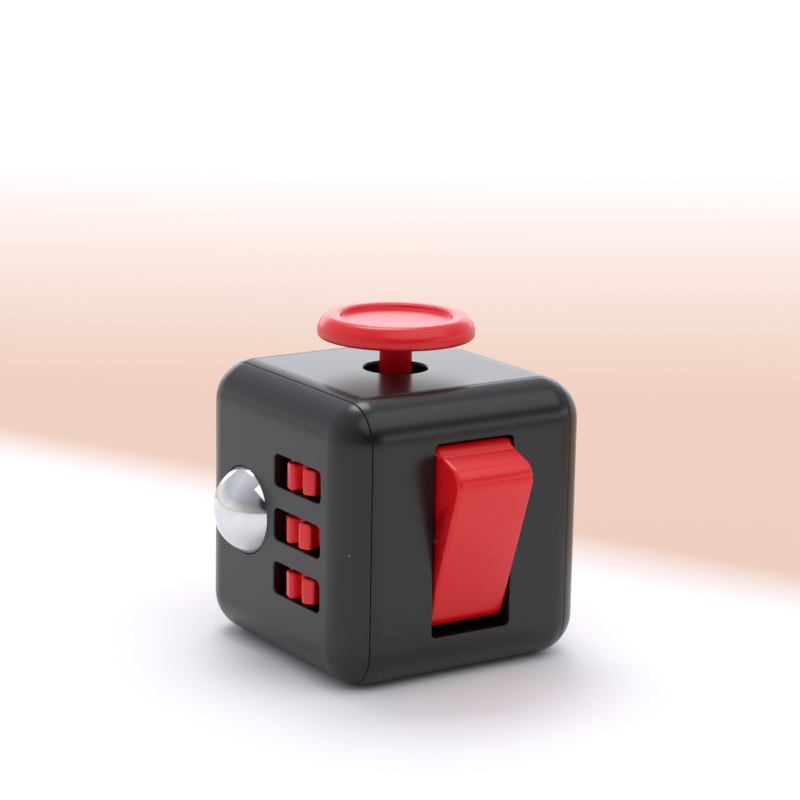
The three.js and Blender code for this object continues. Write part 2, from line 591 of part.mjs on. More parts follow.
function click() {
  const places = [[0, 0], [-1, 1], [1, 1], [-1, -1], [1, -1]]
    .map(([y, z]) => [0, y * BUTTON_SPACING, z * BUTTON_SPACING]);
  const bosses = Object.values(clickScrews).map((side) => ({
    axis: 'x', centre: [0, side * CLICK_SCREW_Y, 0],
  }));
  piece('right_cap', cut(
    join(
      shellBetween([capEdge, -BIG, -BIG], [BIG, BIG, BIG]),
      ...bosses.map((where) => boss({ ...where, wall: INSIDE + 0.3, end: BACKPLATE_HIGH + 0.1 })),
    ),
    ...places.map((centre) => rod(BUTTON_R + RUN, INSIDE - 1, BIG, 'x', centre, 24)),
    ...bosses.map((where) => screwHole({ ...where, from: BACKPLATE_HIGH, to: HALF - 0.7 })),
  ), blackShell());

  const top = HALF + BUTTON_PROUD;
  places.forEach((centre, i) => {
    piece(`button_${i + 1}`, turned([
      [0, FLANGE_LOW], [FLANGE_R, FLANGE_LOW], [FLANGE_R, INSIDE - 0.3], [BUTTON_R, INSIDE - 0.3],
      [BUTTON_R, top - 0.7], [BUTTON_R - 0.3, top - 0.25], [BUTTON_R - 0.9, top], [0, top],
    ], 'x', centre, 20), redPlastic());
    piece(`button_dome_${i + 1}`, turned([
      [DOME_R - 0.7, BACKPLATE_HIGH + 0.1], [DOME_R, BACKPLATE_HIGH + 0.1], [DOME_R, 11],
      [DOME_TOP_R, DOME_TOP], [0, DOME_TOP], [0, DOME_TOP - 0.5], [DOME_TOP_R - 0.3, DOME_TOP - 0.5],
      [DOME_R - 0.7, 11.1], [DOME_R - 0.7, BACKPLATE_HIGH + 0.1],
    ], 'x', centre, 14), rubber());
  });

  const reach = BUTTON_SPACING + 3.4;
  piece('button_backplate', cut(
    join(
      block([BACKPLATE_LOW, -reach, -reach], [BACKPLATE_HIGH, reach, reach]),
      block([BACKPLATE_LOW, -CLICK_SCREW_Y - 1.6, -1.8], [BACKPLATE_HIGH, CLICK_SCREW_Y + 1.6, 1.8]),
    ),
    ...bosses.map((where) => screwHole({ ...where, from: 8, to: 12 })),
  ), blackInner());
  for (const [name, side] of Object.entries(clickScrews)) {
    piece(name, screw({
      axis: 'x', centre: [0, side * CLICK_SCREW_Y, 0],
      head: BACKPLATE_LOW - 0.1 - SCREW_HEAD_H, tip: HALF - 1,
    }), steel());
  }
}

// ---------------------------------------------------------------- spin: the dial

const WELL_FLOOR_LOW = 13.5;
const WELL_FLOOR_HIGH = 14.3;
const SPINDLE_R = 1.5;
const SPINDLE_TIP = 13.2;
const DIAL_BACK = 15;
const NOTCHES = 18;
const NOTCH_R = 0.75;
const DIMPLE_R = 4.6;

function spin() {
  const wellR = DIAL_R + RUN;
  const centre = [0, 0, 0];
  piece('back_panel', cut(
    join(
      shellBetween([-ringEdge, panelEdge, -BIG], [ringEdge, BIG, BIG]),
      rod(wellR + 0.8, WELL_FLOOR_LOW, INSIDE + 0.3, 'y', centre, 32),
    ),
    rod(wellR, WELL_FLOOR_HIGH, BIG, 'y', centre, 32),
    rod(SPINDLE_R + 0.15, 10, BIG, 'y', centre, 16),
  ), blackShell());

  // A flat dial with a finger dimple near its rim and coin-edge notches round it.
  const face = HALF + DIAL_PROUD;
  const notches = Array.from({ length: NOTCHES }, (_, i) => {
    const angle = 2 * Math.PI * i / NOTCHES;
    const at = [(DIAL_R + 0.35) * Math.cos(angle), 0, (DIAL_R + 0.35) * Math.sin(angle)];
    return rod(NOTCH_R, 16.2, BIG, 'y', at, 6);
  });
  piece('dial', cut(
    turned([
      [0, SPINDLE_TIP], [SPINDLE_R, SPINDLE_TIP], [SPINDLE_R, DIAL_BACK], [DIAL_R, DIAL_BACK],
      [DIAL_R, face - 0.4],
      [DIAL_R - 0.4, face], [0, face],
    ], 'y', centre, 36),
    ...notches,
    sphere(DIMPLE_R, [0, face + 3.2, 4.9], 20, 12),
    rod(SCREW_R + 0.05, 12, 15.6, 'y', centre, 12),
  ), redPlastic());
  piece('dial_wave_washer', tube(2, 5.5, WELL_FLOOR_HIGH + 0.1, DIAL_BACK - 0.25, 'y', centre, 28), steel());
  piece('dial_washer', tube(0.85, 3, SPINDLE_TIP - 0.6, SPINDLE_TIP - 0.1, 'y', centre, 16), steel());
  piece('dial_screw', screw({ axis: 'y', centre, head: 11.6, tip: 15.4 }), steel());
}

// ---------------------------------------------------------------- the worry stone

function worryStone() {
  const dishR = 10;
  const dishDepth = 1.4;
  const bowlR = (dishR ** 2 + dishDepth ** 2) / (2 * dishDepth);
  // The bowl's section is an arc from its deepest point out to the rim.
  const arc = [0, 0.25, 0.5, 0.75, 1].map((part) => {
    const radius = part * dishR;
    return [radius, -HALF + dishDepth - bowlR + Math.sqrt(bowlR ** 2 - radius ** 2)];
  });
  const bowl = turned([[0, -HALF - 1], [dishR, -HALF - 1], ...arc.reverse()], 'z', [0, 0, 0], 36);
  piece('bottom_plate', cut(
    join(
      shellBetween([-ringEdge, -plateEdge, -BIG], [ringEdge, plateEdge, 0]),
      rod(dishR + 0.6, -INSIDE - 0.3, -INSIDE + 1, 'z', [0, 0, 0], 28),
    ),
    bowl,
  ), blackShell());
}

glide();
flip();
roll();
click();
spin();
worryStone();

// ---------------------------------------------------------------- the finished object

// The ball stands out further than the buttons opposite it, and the rocker further than the dial.
const CENTRE_X = 1.0;
const CENTRE_Y = 1.9;
cube.position.set(CENTRE_X, CENTRE_Y, HALF);

export default cube;
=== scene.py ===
"""A 33 mm fidget cube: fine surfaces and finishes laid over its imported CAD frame.

Every shape is drawn in millimetres about the middle of the cube, and is put in the frame's
metres when its mesh is made. Positions are read from the CAD nodes.
"""

import logging
import math
from dataclasses import dataclass, field
from enum import Enum

import bmesh
import bpy
import numpy as np
from mathutils import Matrix, Vector
from mathutils.geometry import delaunay_2d_cdt


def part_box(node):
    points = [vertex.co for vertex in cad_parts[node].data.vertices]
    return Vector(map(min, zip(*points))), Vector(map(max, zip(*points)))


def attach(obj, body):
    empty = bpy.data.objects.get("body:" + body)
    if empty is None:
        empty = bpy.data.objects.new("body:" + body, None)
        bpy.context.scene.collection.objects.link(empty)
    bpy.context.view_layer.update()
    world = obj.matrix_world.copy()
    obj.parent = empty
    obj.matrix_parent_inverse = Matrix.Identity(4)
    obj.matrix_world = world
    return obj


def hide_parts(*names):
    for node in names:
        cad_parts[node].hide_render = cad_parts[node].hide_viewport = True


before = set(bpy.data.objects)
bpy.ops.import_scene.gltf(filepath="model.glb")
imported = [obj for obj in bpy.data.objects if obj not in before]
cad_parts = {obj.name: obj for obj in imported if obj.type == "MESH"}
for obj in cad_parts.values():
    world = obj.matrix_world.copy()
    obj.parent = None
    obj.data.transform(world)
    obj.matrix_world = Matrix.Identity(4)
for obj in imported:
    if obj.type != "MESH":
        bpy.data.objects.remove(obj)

Array = np.ndarray
Socket = bpy.types.NodeSocket

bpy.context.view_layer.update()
MM = 0.001

HALF = 16.5                      # half the side of the cube
EDGE = 4.9                       # rounding of the cube's outer edges
WALL = 1.6                       # thickness of the shell
CORE = HALF - EDGE               # half side of every face's flat part
HOLD = 0.04                      # width of the flat strip that keeps a flat face flat at its edge
SEAM_X = 13.3                    # the side caps' seams
SEAM_Y = 11.9                    # the top and bottom plates' seams
SEAM_GAP = 0.06                  # width of every seam
SEAM_LIP = 0.08                  # rounding of the plastic at a seam
BACK_CHAMFER = 0.15              # chamfer of a hole's edge on the inside
BUTTON_RADIUS = 2.9              # of a button's straight side
WELD = 1e-6                      # metres within which two points are one

log = logging.getLogger("fidget_cube")


class Face(Enum):
    """The six faces of the cube, each as its across, up and outward directions."""

    LEFT = ((0, -1, 0), (0, 0, 1), (-1, 0, 0))
    RIGHT = ((0, 1, 0), (0, 0, 1), (1, 0, 0))
    FRONT = ((1, 0, 0), (0, 0, 1), (0, -1, 0))
    BACK = ((-1, 0, 0), (0, 0, 1), (0, 1, 0))
    TOP = ((1, 0, 0), (0, 1, 0), (0, 0, 1))
    BOTTOM = ((1, 0, 0), (0, -1, 0), (0, 0, -1))

    @property
    def axes(self) -> Array:
        """The three directions as rows of a matrix."""
        return np.array(self.value, float)

    def spot(self, node: str) -> tuple[float, float]:
        """Where the middle of a CAD node lies on the face: across and up."""
        return tuple((self.axes @ middle_of(node))[:2])


# ---- places in the frame


def node_box(node: str) -> tuple[Array, Array]:
    """Lowest and highest corner of a CAD node, in millimetres in the row frame."""
    low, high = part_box(node)
    return np.array(low) / MM, np.array(high) / MM


def cube_middle() -> Array:
    """The middle of the cube in the row frame, in millimetres, from its six panels."""
    panels = ("left_cap", "right_cap"), ("front_panel", "back_panel"), ("bottom_plate", "top_plate")
    ends = [(node_box(first)[0][axis], node_box(last)[1][axis])
            for axis, (first, last) in enumerate(panels)]
    return np.array(ends).sum(axis=1) / 2


MIDDLE = cube_middle()
BUTTONS = [f"button_{number}" for number in range(1, 6)]


def middle_of(node: str) -> Array:
    """The middle of a CAD node, in millimetres about the middle of the cube."""
    low, high = node_box(node)
    return (low + high) / 2 - MIDDLE


# ---- surfaces


@dataclass
class Patch:
    """One stretch of surface: its points, and its faces as rows of point numbers."""

    points: Array
    faces: Array

    def turned_to(self, axes: Array, centre: Array | tuple = (0, 0, 0)) -> "Patch":
        """The patch with its three coordinates laid along the given directions, then moved."""
        return Patch(self.points @ axes + np.asarray(centre, float), self.faces)


def grid(points: Array, closed: bool = False, left_out: Array | None = None) -> Patch:
    """Join a grid of points into quads.

    Args:
        points: rows x columns x 3 coordinates.
        closed: joins the last column to the first.
        left_out: a true value for each cell, rows - 1 by columns - 1, that stays open.

    Returns:
        The grid as a patch.
    """
    rows, columns = points.shape[:2]
    number = np.arange(rows * columns).reshape(rows, columns)
    if closed:
        number = np.column_stack([number, number[:, :1]])
    corners = [number[:-1, :-1], number[:-1, 1:], number[1:, 1:], number[1:, :-1]]
    quads = np.stack(corners, axis=-1)
    kept = quads.reshape(-1, 4) if left_out is None else quads[~left_out]
    return Patch(points.reshape(-1, 3), kept)


def inside_loops(places: Array, loops: list[Array]) -> Array:
    """Whether each place lies in the material between closed loops, by the even-odd rule."""
    start = np.concatenate(loops)
    end = np.concatenate([np.roll(loop, -1, axis=0) for loop in loops])
    x, y = places[:, :1], places[:, 1:]
    spans = (start[:, 1] > y) != (end[:, 1] > y)
    rise = np.where(end[:, 1] == start[:, 1], 1.0, end[:, 1] - start[:, 1])
    crossing = start[:, 0] + (y - start[:, 1]) * (end[:, 0] - start[:, 0]) / rise
    return np.sum(spans & (x < crossing), axis=1) % 2 == 1


def flat_fill(loops: list[Array], height: float) -> Patch:
    """Fill the flat area between closed loops with triangles at one height.

    Args:
        loops: the outer loop and the loops of the holes in it, each n x 2.
        height: the third coordinate of every point.

    Returns:
        The filled area.
    """
    start = np.cumsum([0] + [len(loop) for loop in loops])
    edges = np.concatenate([
        np.column_stack([np.arange(len(loop)), np.roll(np.arange(len(loop)), -1)]) + first
        for loop, first in zip(loops, start)
    ])
    points, _, faces, *_ = delaunay_2d_cdt(
        np.concatenate(loops).tolist(), edges.tolist(), [], 0, 1e-7, False)
    flat = np.array(points)
    triangles = np.array(faces)
    kept = inside_loops(flat[triangles].mean(axis=1), loops)
    return Patch(np.column_stack([flat, np.full(len(flat), height)]), triangles[kept])


def turned(profile: Array, segments: int = 128) -> Patch:
    """Carry a profile of [radius, height] points round the third axis."""
    angle = np.linspace(0, 2 * math.pi, segments, endpoint=False)
    around = np.stack([np.cos(angle), np.sin(angle), np.zeros(segments)], axis=-1)
    points = profile[:, None, :1] * around + profile[:, None, 1:] * np.array([0, 0, 1.0])
    return grid(points, closed=True)


def rounded(corners: list, radii: list | float, steps: int = 6, closed: bool = True) -> Array:
    """Round the corners of a line of straight stretches.

    Each corner becomes an arc that touches both stretches. An arc is no longer than 0.49 of
    the shorter stretch beside it.

    Args:
        corners: the points where the stretches meet, n x 2.
        radii: one radius, or one for each corner.
        steps: points on an arc, less one.
        closed: joins the last point to the first. The ends of an open line stay as they are.

    Returns:
        The rounded line, m x 2.
    """
    corner = np.asarray(corners, float)
    radius = np.broadcast_to(np.asarray(radii, float), len(corner))[:, None]
    before = np.roll(corner, 1, axis=0) - corner
    after = np.roll(corner, -1, axis=0) - corner
    before_length = np.linalg.norm(before, axis=1, keepdims=True)
    after_length = np.linalg.norm(after, axis=1, keepdims=True)
    before = before / before_length
    after = after / after_length
    half = np.arccos(np.clip(np.sum(before * after, axis=1, keepdims=True), -1, 1)) / 2
    reach = np.minimum(radius / np.tan(half), 0.49 * np.minimum(before_length, after_length))
    used = reach * np.tan(half)
    bisector = before + after
    length = np.linalg.norm(bisector, axis=1, keepdims=True)
    bisector = bisector / np.where(length < 1e-9, 1, length)
    centre = corner + bisector * used / np.sin(half)
    # Each arc swings about its centre from the end of one stretch to the start of the next.
    first = corner + before * reach - centre
    last = corner + after * reach - centre
    cross = first[:, :1] * last[:, 1:] - first[:, 1:] * last[:, :1]
    sweep = np.arctan2(cross, np.sum(first * last, axis=1, keepdims=True))
    angle = (np.linspace(0, 1, steps + 1)[None, :] * sweep)[..., None]
    swung = np.concatenate([
        first[:, None, :1] * np.cos(angle) - first[:, None, 1:] * np.sin(angle),
        first[:, None, :1] * np.sin(angle) + first[:, None, 1:] * np.cos(angle),
    ], axis=-1)
    arcs = centre[:, None, :] + swung
    if not closed:
        return np.concatenate([corner[:1], arcs[1:-1].reshape(-1, 2), corner[-1:]])
    return arcs.reshape(-1, 2)


def outward_of(outline: Array) -> Array:
    """Unit directions that point out of an anticlockwise closed outline, at each of its points."""
    along = np.roll(outline, -1, axis=0) - np.roll(outline, 1, axis=0)
    out = np.column_stack([along[:, 1], -along[:, 0]])
    return out / np.linalg.norm(out, axis=1, keepdims=True)


def collar(outline: Array, section: Array) -> Patch:
    """Carry a section round a closed outline.

    Args:
        outline: n x 2 points, anticlockwise.
        section: k x 2 of [distance out of the outline, height].

    Returns:
        The band of surface, k rows by n columns.
    """
    place = outline[None] + section[:, None, :1] * outward_of(outline)[None]
    height = np.broadcast_to(section[:, None, 1:], (*place.shape[:2], 1))
    return grid(np.concatenate([place, height], axis=-1), closed=True)


def quarter(radius: float, steps: int = 5) -> Array:
    """A lip that rolls from a face down into a hole: [distance from the hole's wall, height]."""
    angle = np.linspace(0, math.pi / 2, steps + 1)
    return np.column_stack([radius * (1 - np.sin(angle)), -radius * (1 - np.cos(angle))])


def circle(radius: float, centre: tuple[float, float] = (0, 0), points: int = 96) -> Array:
    """An anticlockwise circle."""
    angle = np.linspace(0, 2 * math.pi, points, endpoint=False)
    return np.column_stack([np.cos(angle), np.sin(angle)]) * radius + np.array(centre)


def rounded_box(width: float, height: float, corner: float, centre: tuple = (0, 0)) -> Array:
    """An anticlockwise rectangle with rounded corners."""
    w, h = width / 2, height / 2
    line = rounded([[-w, -h], [w, -h], [w, h], [-w, h]], corner, steps=8)
    return line + np.array(centre)


# ---- making the pieces


def mesh_of(name: str, patches: list[Patch]) -> bpy.types.Object:
    """Weld patches into one closed mesh whose faces point outwards.

    Args:
        name: the piece's name.
        patches: its surface, in millimetres about the middle of the cube.

    Returns:
        The new object, at the origin, with its place in its mesh.
    """
    start = np.cumsum([0] + [len(patch.points) for patch in patches])
    points = (np.concatenate([patch.points for patch in patches]) + MIDDLE) * MM
    faces = [row for patch, first in zip(patches, start) for row in (patch.faces + first).tolist()]
    data = bpy.data.meshes.new(name)
    data.from_pydata(points.tolist(), [], faces)
    work = bmesh.new()
    work.from_mesh(data)
    bmesh.ops.remove_doubles(work, verts=work.verts, dist=WELD)
    bmesh.ops.dissolve_degenerate(work, edges=work.edges, dist=WELD)
    bmesh.ops.recalc_face_normals(work, faces=work.faces)
    open_edges = sum(not edge.is_manifold for edge in work.edges)
    work.to_mesh(data)
    work.free()
    data.shade_smooth()
    if open_edges:
        log.warning("%s has %d edges that are open", name, open_edges)
    return put_in_scene(name, data)


def put_in_scene(name: str, data: bpy.types.ID) -> bpy.types.Object:
    """Put an object with the given data in the scene."""
    made = bpy.data.objects.new(name, data)
    bpy.context.scene.collection.objects.link(made)
    return made


def add_piece(name: str, patches: list[Patch], look: "Finish", body: str, nodes: list[str],
              axes: Array = np.eye(3), centre: Array | tuple = (0, 0, 0)) -> None:
    """Make one piece, dress it, let it ride on its body and stand for its CAD nodes.

    Args:
        name: the piece's name.
        patches: its surface, in its own three directions.
        look: its finish.
        body: the CAD body that it moves with.
        nodes: the CAD nodes that it replaces.
        axes: where its three directions point.
        centre: where its origin lies, in millimetres about the middle of the cube.
    """
    piece = mesh_of(name, [patch.turned_to(axes, centre) for patch in patches])
    piece.data.materials.append(look.material())
    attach(piece, body)
    if nodes:
        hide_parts(*nodes)
    log.info("%s: %d faces on %s, %s", piece.name, len(piece.data.polygons), body, look.name)


# ---- finishes


def linear(red: int, green: int, blue: int) -> tuple[float, float, float, float]:
    """A screen colour of 0 to 255 as the linear colour that shaders use."""
    share = np.array([red, green, blue]) / 255
    value = np.where(share <= 0.04045, share / 12.92, ((share + 0.055) / 1.055) ** 2.4)
    return (*value.tolist(), 1.0)


class Layout:
    """Lays out the nodes of a material or of the world."""

    def __init__(self, tree: bpy.types.NodeTree, place: str) -> None:
        """Start a layout.

        Args:
            tree: the node tree that it fills.
            place: the kind of coordinates that it reads.
        """
        self.tree = tree
        self.place = self.add("TexCoord", {}).outputs[place]

    def add(self, kind: str, inputs: dict, **settings: object) -> bpy.types.Node:
        """Add a node.

        Args:
            kind: the node's type, without its ShaderNode prefix.
            inputs: values or output sockets, by input name or number.
            settings: the node's own properties.

        Returns:
            The node.
        """
        node = self.tree.nodes.new("ShaderNode" + kind)
        for key, value in settings.items():
            setattr(node, key, value)
        self.wire(node, inputs)
        return node

    def wire(self, node: bpy.types.Node, inputs: dict) -> None:
        """Link or set a node's inputs, by name or number."""
        for key, value in inputs.items():
            if isinstance(value, Socket):
                self.tree.links.new(value, node.inputs[key])
            else:
                node.inputs[key].default_value = value

    def ramp(self, value: Socket, low: float, high: float, at_low: float, at_high: float) -> Socket:
        """Carry a value from one range to another, held at both ends."""
        inputs = {"Value": value, "From Min": low, "From Max": high}
        inputs |= {"To Min": at_low, "To Max": at_high}
        return self.add("MapRange", inputs).outputs["Result"]

    def product(self, first: Socket, second: Socket) -> Socket:
        """Two values multiplied."""
        return self.add("Math", {0: first, 1: second}, operation="MULTIPLY").outputs[0]


class Sheet(Layout):
    """Lays out the nodes of one material, on the piece's own coordinates."""

    def __init__(self, name: str) -> None:
        """Start a material with one shader."""
        self.material = bpy.data.materials.new(name)
        self.material.use_nodes = True
        super().__init__(self.material.node_tree, "Object")

    def noise(self, size: float, detail: float, place: Socket | None = None) -> Socket:
        """Smooth noise whose spots are about the given size in millimetres, from 0 to 1."""
        inputs = {"Vector": place or self.place, "Scale": 1 / (size * MM), "Detail": detail}
        return self.add("TexNoise", inputs).outputs["Fac"]

    def blend(self, share: Socket, first: Socket | tuple, second: Socket | tuple) -> Socket:
        """Mix two colours by a share."""
        return self.add("Mix", {0: share, 6: first, 7: second}, data_type="RGBA").outputs[2]

    def stretched(self, across: tuple[float, float, float]) -> Socket:
        """The piece's coordinates, stretched by a factor along each axis."""
        return self.add("Mapping", {"Vector": self.place, "Scale": across}).outputs["Vector"]

    def specks(self, spacing: float, width: float, share: float) -> Socket:
        """Small scattered spots.

        Args:
            spacing: millimetres from one possible spot to the next.
            width: a spot's radius, as a share of the spacing.
            share: how many of the possible spots show.

        Returns:
            A socket that is 1 on a spot and 0 elsewhere.
        """
        cells = self.add("TexVoronoi", {"Vector": self.place, "Scale": 1 / (spacing * MM)})
        red = self.add("SeparateColor", {"Color": cells.outputs["Color"]}).outputs[0]
        shown = self.add("Math", {0: red, 1: share}, operation="LESS_THAN").outputs[0]
        return self.product(self.ramp(cells.outputs["Distance"], width * 0.6, width, 1, 0), shown)

    def bump(self, height: Socket, depth: float, under: Socket | None = None) -> Socket:
        """A bump map.

        Args:
            height: the height socket, from 0 to 1.
            depth: millimetres from 0 to 1.
            under: the normal that it adds to.

        Returns:
            The new normal.
        """
        inputs = {"Height": height, "Distance": depth * MM, "Strength": 1.0}
        if under:
            inputs["Normal"] = under
        return self.add("Bump", inputs).outputs["Normal"]

    def shade(self, **sockets: object) -> bpy.types.Material:
        """Link or set the shader's inputs, by name with spaces as underscores.

        Returns:
            The finished material.
        """
        inputs = {key.replace("_", " "): value for key, value in sockets.items()}
        self.wire(self.tree.nodes["Principled BSDF"], inputs)
        return self.material


@dataclass(frozen=True)
class Finish:
    """What every finish has: a name and the record's material slot."""

    name: str
    slot: str

    def material(self) -> bpy.types.Material:
        """The finish's material, made once."""
        return bpy.data.materials.get(self.name) or self.paint(Sheet(self.name))

    def paint(self, sheet: Sheet) -> bpy.types.Material:
        """Lay out the finish's nodes. Each kind of finish has its own."""
        raise NotImplementedError


@dataclass(frozen=True)
class Plastic(Finish):
    """Injection-moulded plastic with a fine grain, faint flow clouds and specks of dust."""

    colour: tuple
    cloud: tuple
    dust: tuple
    roughness: tuple[float, float]
    dust_share: float
    grain_depth: float = 0.0001
    glow: float = 0.0

    def paint(self, sheet: Sheet) -> bpy.types.Material:
        """Colour, roughness and relief of the moulding."""
        clouds = sheet.ramp(sheet.noise(9, 1), 0.2, 0.8, 0, 1)
        specks = sheet.specks(1.3, 0.07, self.dust_share)
        colour = sheet.blend(specks, sheet.blend(clouds, self.colour, self.cloud), self.dust)
        rough = sheet.ramp(sheet.noise(20, 0), 0, 1, *self.roughness)
        relief = sheet.bump(sheet.noise(0.6, 1), self.grain_depth)
        return sheet.shade(Base_Color=colour, Roughness=rough, Normal=relief,
                           Subsurface_Weight=self.glow, Subsurface_Scale=1.2 * MM,
                           Subsurface_Radius=(1.0, 0.25, 0.15))


@dataclass(frozen=True)
class Metal(Finish):
    """Bare or plated metal, with polishing marks drawn out along one axis and tiny pits."""

    colour: tuple
    tarnish: tuple
    roughness: tuple[float, float]
    mark_size: float
    drawn_out: tuple[float, float, float] = (1, 1, 1)
    mark_depth: float = 0.0005
    pit_share: float = 0.03

    def paint(self, sheet: Sheet) -> bpy.types.Material:
        """Colour, roughness and relief of the metal."""
        clouds = sheet.ramp(sheet.noise(2.5, 4), 0.35, 0.75, 0, 1)
        marks = sheet.noise(self.mark_size, 3, sheet.stretched(self.drawn_out))
        pits = sheet.specks(0.9, 0.09, self.pit_share)
        clouded = sheet.blend(clouds, self.colour, self.tarnish)
        colour = sheet.blend(pits, clouded, (0.02, 0.02, 0.02, 1))
        rough = sheet.ramp(marks, 0.3, 0.7, *self.roughness)
        relief = sheet.bump(pits, -0.02, sheet.bump(marks, self.mark_depth))
        return sheet.shade(Base_Color=colour, Roughness=rough, Normal=relief, Metallic=1.0)


@dataclass(frozen=True)
class Rubber(Finish):
    """Translucent grey silicone with a powdery surface."""

    colour: tuple
    powder: tuple

    def paint(self, sheet: Sheet) -> bpy.types.Material:
        """Colour, roughness and relief of the silicone."""
        powder = sheet.ramp(sheet.noise(1.2, 4), 0.4, 0.7, 0, 1)
        colour = sheet.blend(powder, self.colour, self.powder)
        rough = sheet.ramp(powder, 0, 1, 0.5, 0.8)
        relief = sheet.bump(sheet.noise(0.2, 2), 0.004)
        return sheet.shade(Base_Color=colour, Roughness=rough, Normal=relief,
                           Subsurface_Weight=0.3, Subsurface_Scale=MM)


SHELL_BLACK = Plastic(
    "satin_black_shell", "black_shell", colour=linear(14, 14, 15), cloud=linear(16, 16, 16),
    dust=linear(170, 170, 172), roughness=(0.25, 0.28), dust_share=0.04)
INNER_BLACK = Plastic(
    "matt_black_inside", "black_inner", colour=linear(27, 27, 30), cloud=linear(20, 20, 22),
    dust=linear(110, 110, 110), roughness=(0.5, 0.65), grain_depth=0.003, dust_share=0.01)
SIGNAL_RED = Plastic(
    "signal_red", "red_plastic", colour=linear(228, 16, 24), cloud=linear(222, 12, 20),
    dust=linear(250, 210, 210), roughness=(0.25, 0.29), dust_share=0.04, glow=0.1)
CHROME = Metal(
    "polished_chrome", "chrome_ball", colour=linear(222, 222, 224), tarnish=linear(206, 205, 204),
    roughness=(0.05, 0.1), mark_size=0.5)
SPRING_STEEL = Metal(
    "bright_steel", "spring_steel", colour=linear(190, 192, 196), tarnish=linear(150, 150, 152),
    roughness=(0.2, 0.38), drawn_out=(1, 1, 0.2), mark_size=0.15, mark_depth=0.002)
SILICONE = Rubber(
    "grey_silicone", "silicone", colour=linear(160, 163, 168), powder=linear(196, 198, 200))
FINISH_OF_SLOT = {look.slot: look for look in
                  (SHELL_BLACK, INNER_BLACK, SIGNAL_RED, CHROME, SPRING_STEEL, SILICONE)}


# ---- the shell


@dataclass
class Opening:
    """A hole in a flat face: its outline, and the sections that its edge follows.

    Each section is [distance into the material, height above the face]. The first starts on
    the outer face and the last ends on the inner face.
    """

    outline: Array
    sections: list[Array]

    @classmethod
    def plain(cls, outline: Array, lip: float) -> "Opening":
        """A hole with a rounded lip, a straight wall and a small chamfer on the inside."""
        back = [[0, BACK_CHAMFER - WALL], [BACK_CHAMFER, -WALL], [BACK_CHAMFER + HOLD, -WALL]]
        return cls(outline, [np.vstack([[[lip + HOLD, 0]], quarter(lip), back])])

    def loop(self, at: int) -> Array:
        """The loop where the flat face stops: at 0 the outer face, at -1 the inner one."""
        return self.outline + self.sections[at][at, 0] * outward_of(self.outline)

    def patches(self) -> list[Patch]:
        """The bands of surface that line the hole."""
        return [collar(self.outline, section + np.array([0, HALF])) for section in self.sections]


@dataclass
class Skin:
    """One side, outer or inner, of a panel of the rounded cube.

    The rounded cube is every point at a radius from a smaller cube, the core, so a point of it
    is a point of the core plus the radius times the outward direction there.
    """

    radius: float
    core: float = CORE
    steps: int = 14

    def line(self, limit: float) -> tuple[Array, Array]:
        """The core coordinate and the tilt at each step across the panel.

        Args:
            limit: the tilt at both ends, in radians.

        Returns:
            The core coordinates and the tilts.
        """
        tilt = np.linspace(0, limit, self.steps + 1)
        flat = self.core - HOLD
        end = np.full(len(tilt), self.core)
        place = np.concatenate([-end, [-flat, flat], end])
        return place, np.concatenate([-tilt[::-1], [0, 0], tilt])

    def panel(self, side_limit: float, end_limit: float) -> tuple[Array, Array]:
        """Points and normals of a panel: rows run up it and columns run across it.

        The outward direction is (sin a, cos a sin b, cos a cos b), with a the tilt across and
        b the turn up the panel.
        """
        across, tilt = self.line(side_limit)
        up, turn = self.line(end_limit)
        tilt, turn = np.meshgrid(tilt, turn)
        across, up = np.meshgrid(across, up)
        normal = np.stack(
            [np.sin(tilt), np.cos(tilt) * np.sin(turn), np.cos(tilt) * np.cos(turn)], axis=-1)
        core = np.stack([across, up, np.full(across.shape, self.core)], axis=-1)
        return core + self.radius * normal, normal

    def cap(self, limit: float) -> tuple[Array, Array, Array]:
        """Points, normals and outward slopes of a cap's rounded edge, from its flat to its seam.

        The edge goes round the core's square. Its outward direction is (sin a d, cos a), with
        a the tilt from the flat and d the direction out of the square.
        """
        quarter_turn = math.pi / 2
        swing = np.linspace(0, quarter_turn, self.steps + 1)
        corner = np.array([[1, 1], [-1, 1], [-1, -1], [1, -1]], float) * self.core
        start = np.arange(4)[:, None] * quarter_turn
        angle = np.concatenate([start + swing, np.repeat(start + quarter_turn, 2, axis=1)], axis=1)
        share = HOLD / (2 * self.core)
        to_next = (np.roll(corner, -1, axis=0) - corner)[:, None, :]
        sides = corner[:, None, :] + to_next * np.array([share, 1 - share])[None, :, None]
        foot = np.concatenate([np.repeat(corner[:, None, :], len(swing), axis=1), sides], axis=1)
        direction = np.stack([np.cos(angle), np.sin(angle)], axis=-1).reshape(-1, 2)
        foot = foot.reshape(-1, 2)
        tilt = np.linspace(0, limit, 2 * self.steps + 1)[:, None, None]
        level = np.ones((1, len(foot), 1))
        normal = np.concatenate([np.sin(tilt) * direction[None], np.cos(tilt) * level], axis=-1)
        slope = np.concatenate([np.cos(tilt) * direction[None], -np.sin(tilt) * level], axis=-1)
        core = np.concatenate([foot[None], self.core * level], axis=-1)
        return core + self.radius * normal, normal, slope

    def flat_frame(self) -> Patch:
        """The narrow frame of flat surface round a cap's flat face."""
        place = np.array([-self.core, HOLD - self.core, self.core - HOLD, self.core])
        across, up = np.meshgrid(place, place)
        points = np.stack([across, up, np.full(across.shape, self.core + self.radius)], axis=-1)
        middle = np.zeros((3, 3), bool)
        middle[1, 1] = True
        return grid(points, left_out=middle)

    def flat_face(self, openings: list[Opening], at: int) -> Patch:
        """The flat face inside that frame, with its openings."""
        flat = self.core - HOLD
        square = np.array([[-flat, -flat], [flat, -flat], [flat, flat], [-flat, flat]])
        loops = [square, *[opening.loop(at) for opening in openings]]
        return flat_fill(loops, self.core + self.radius)


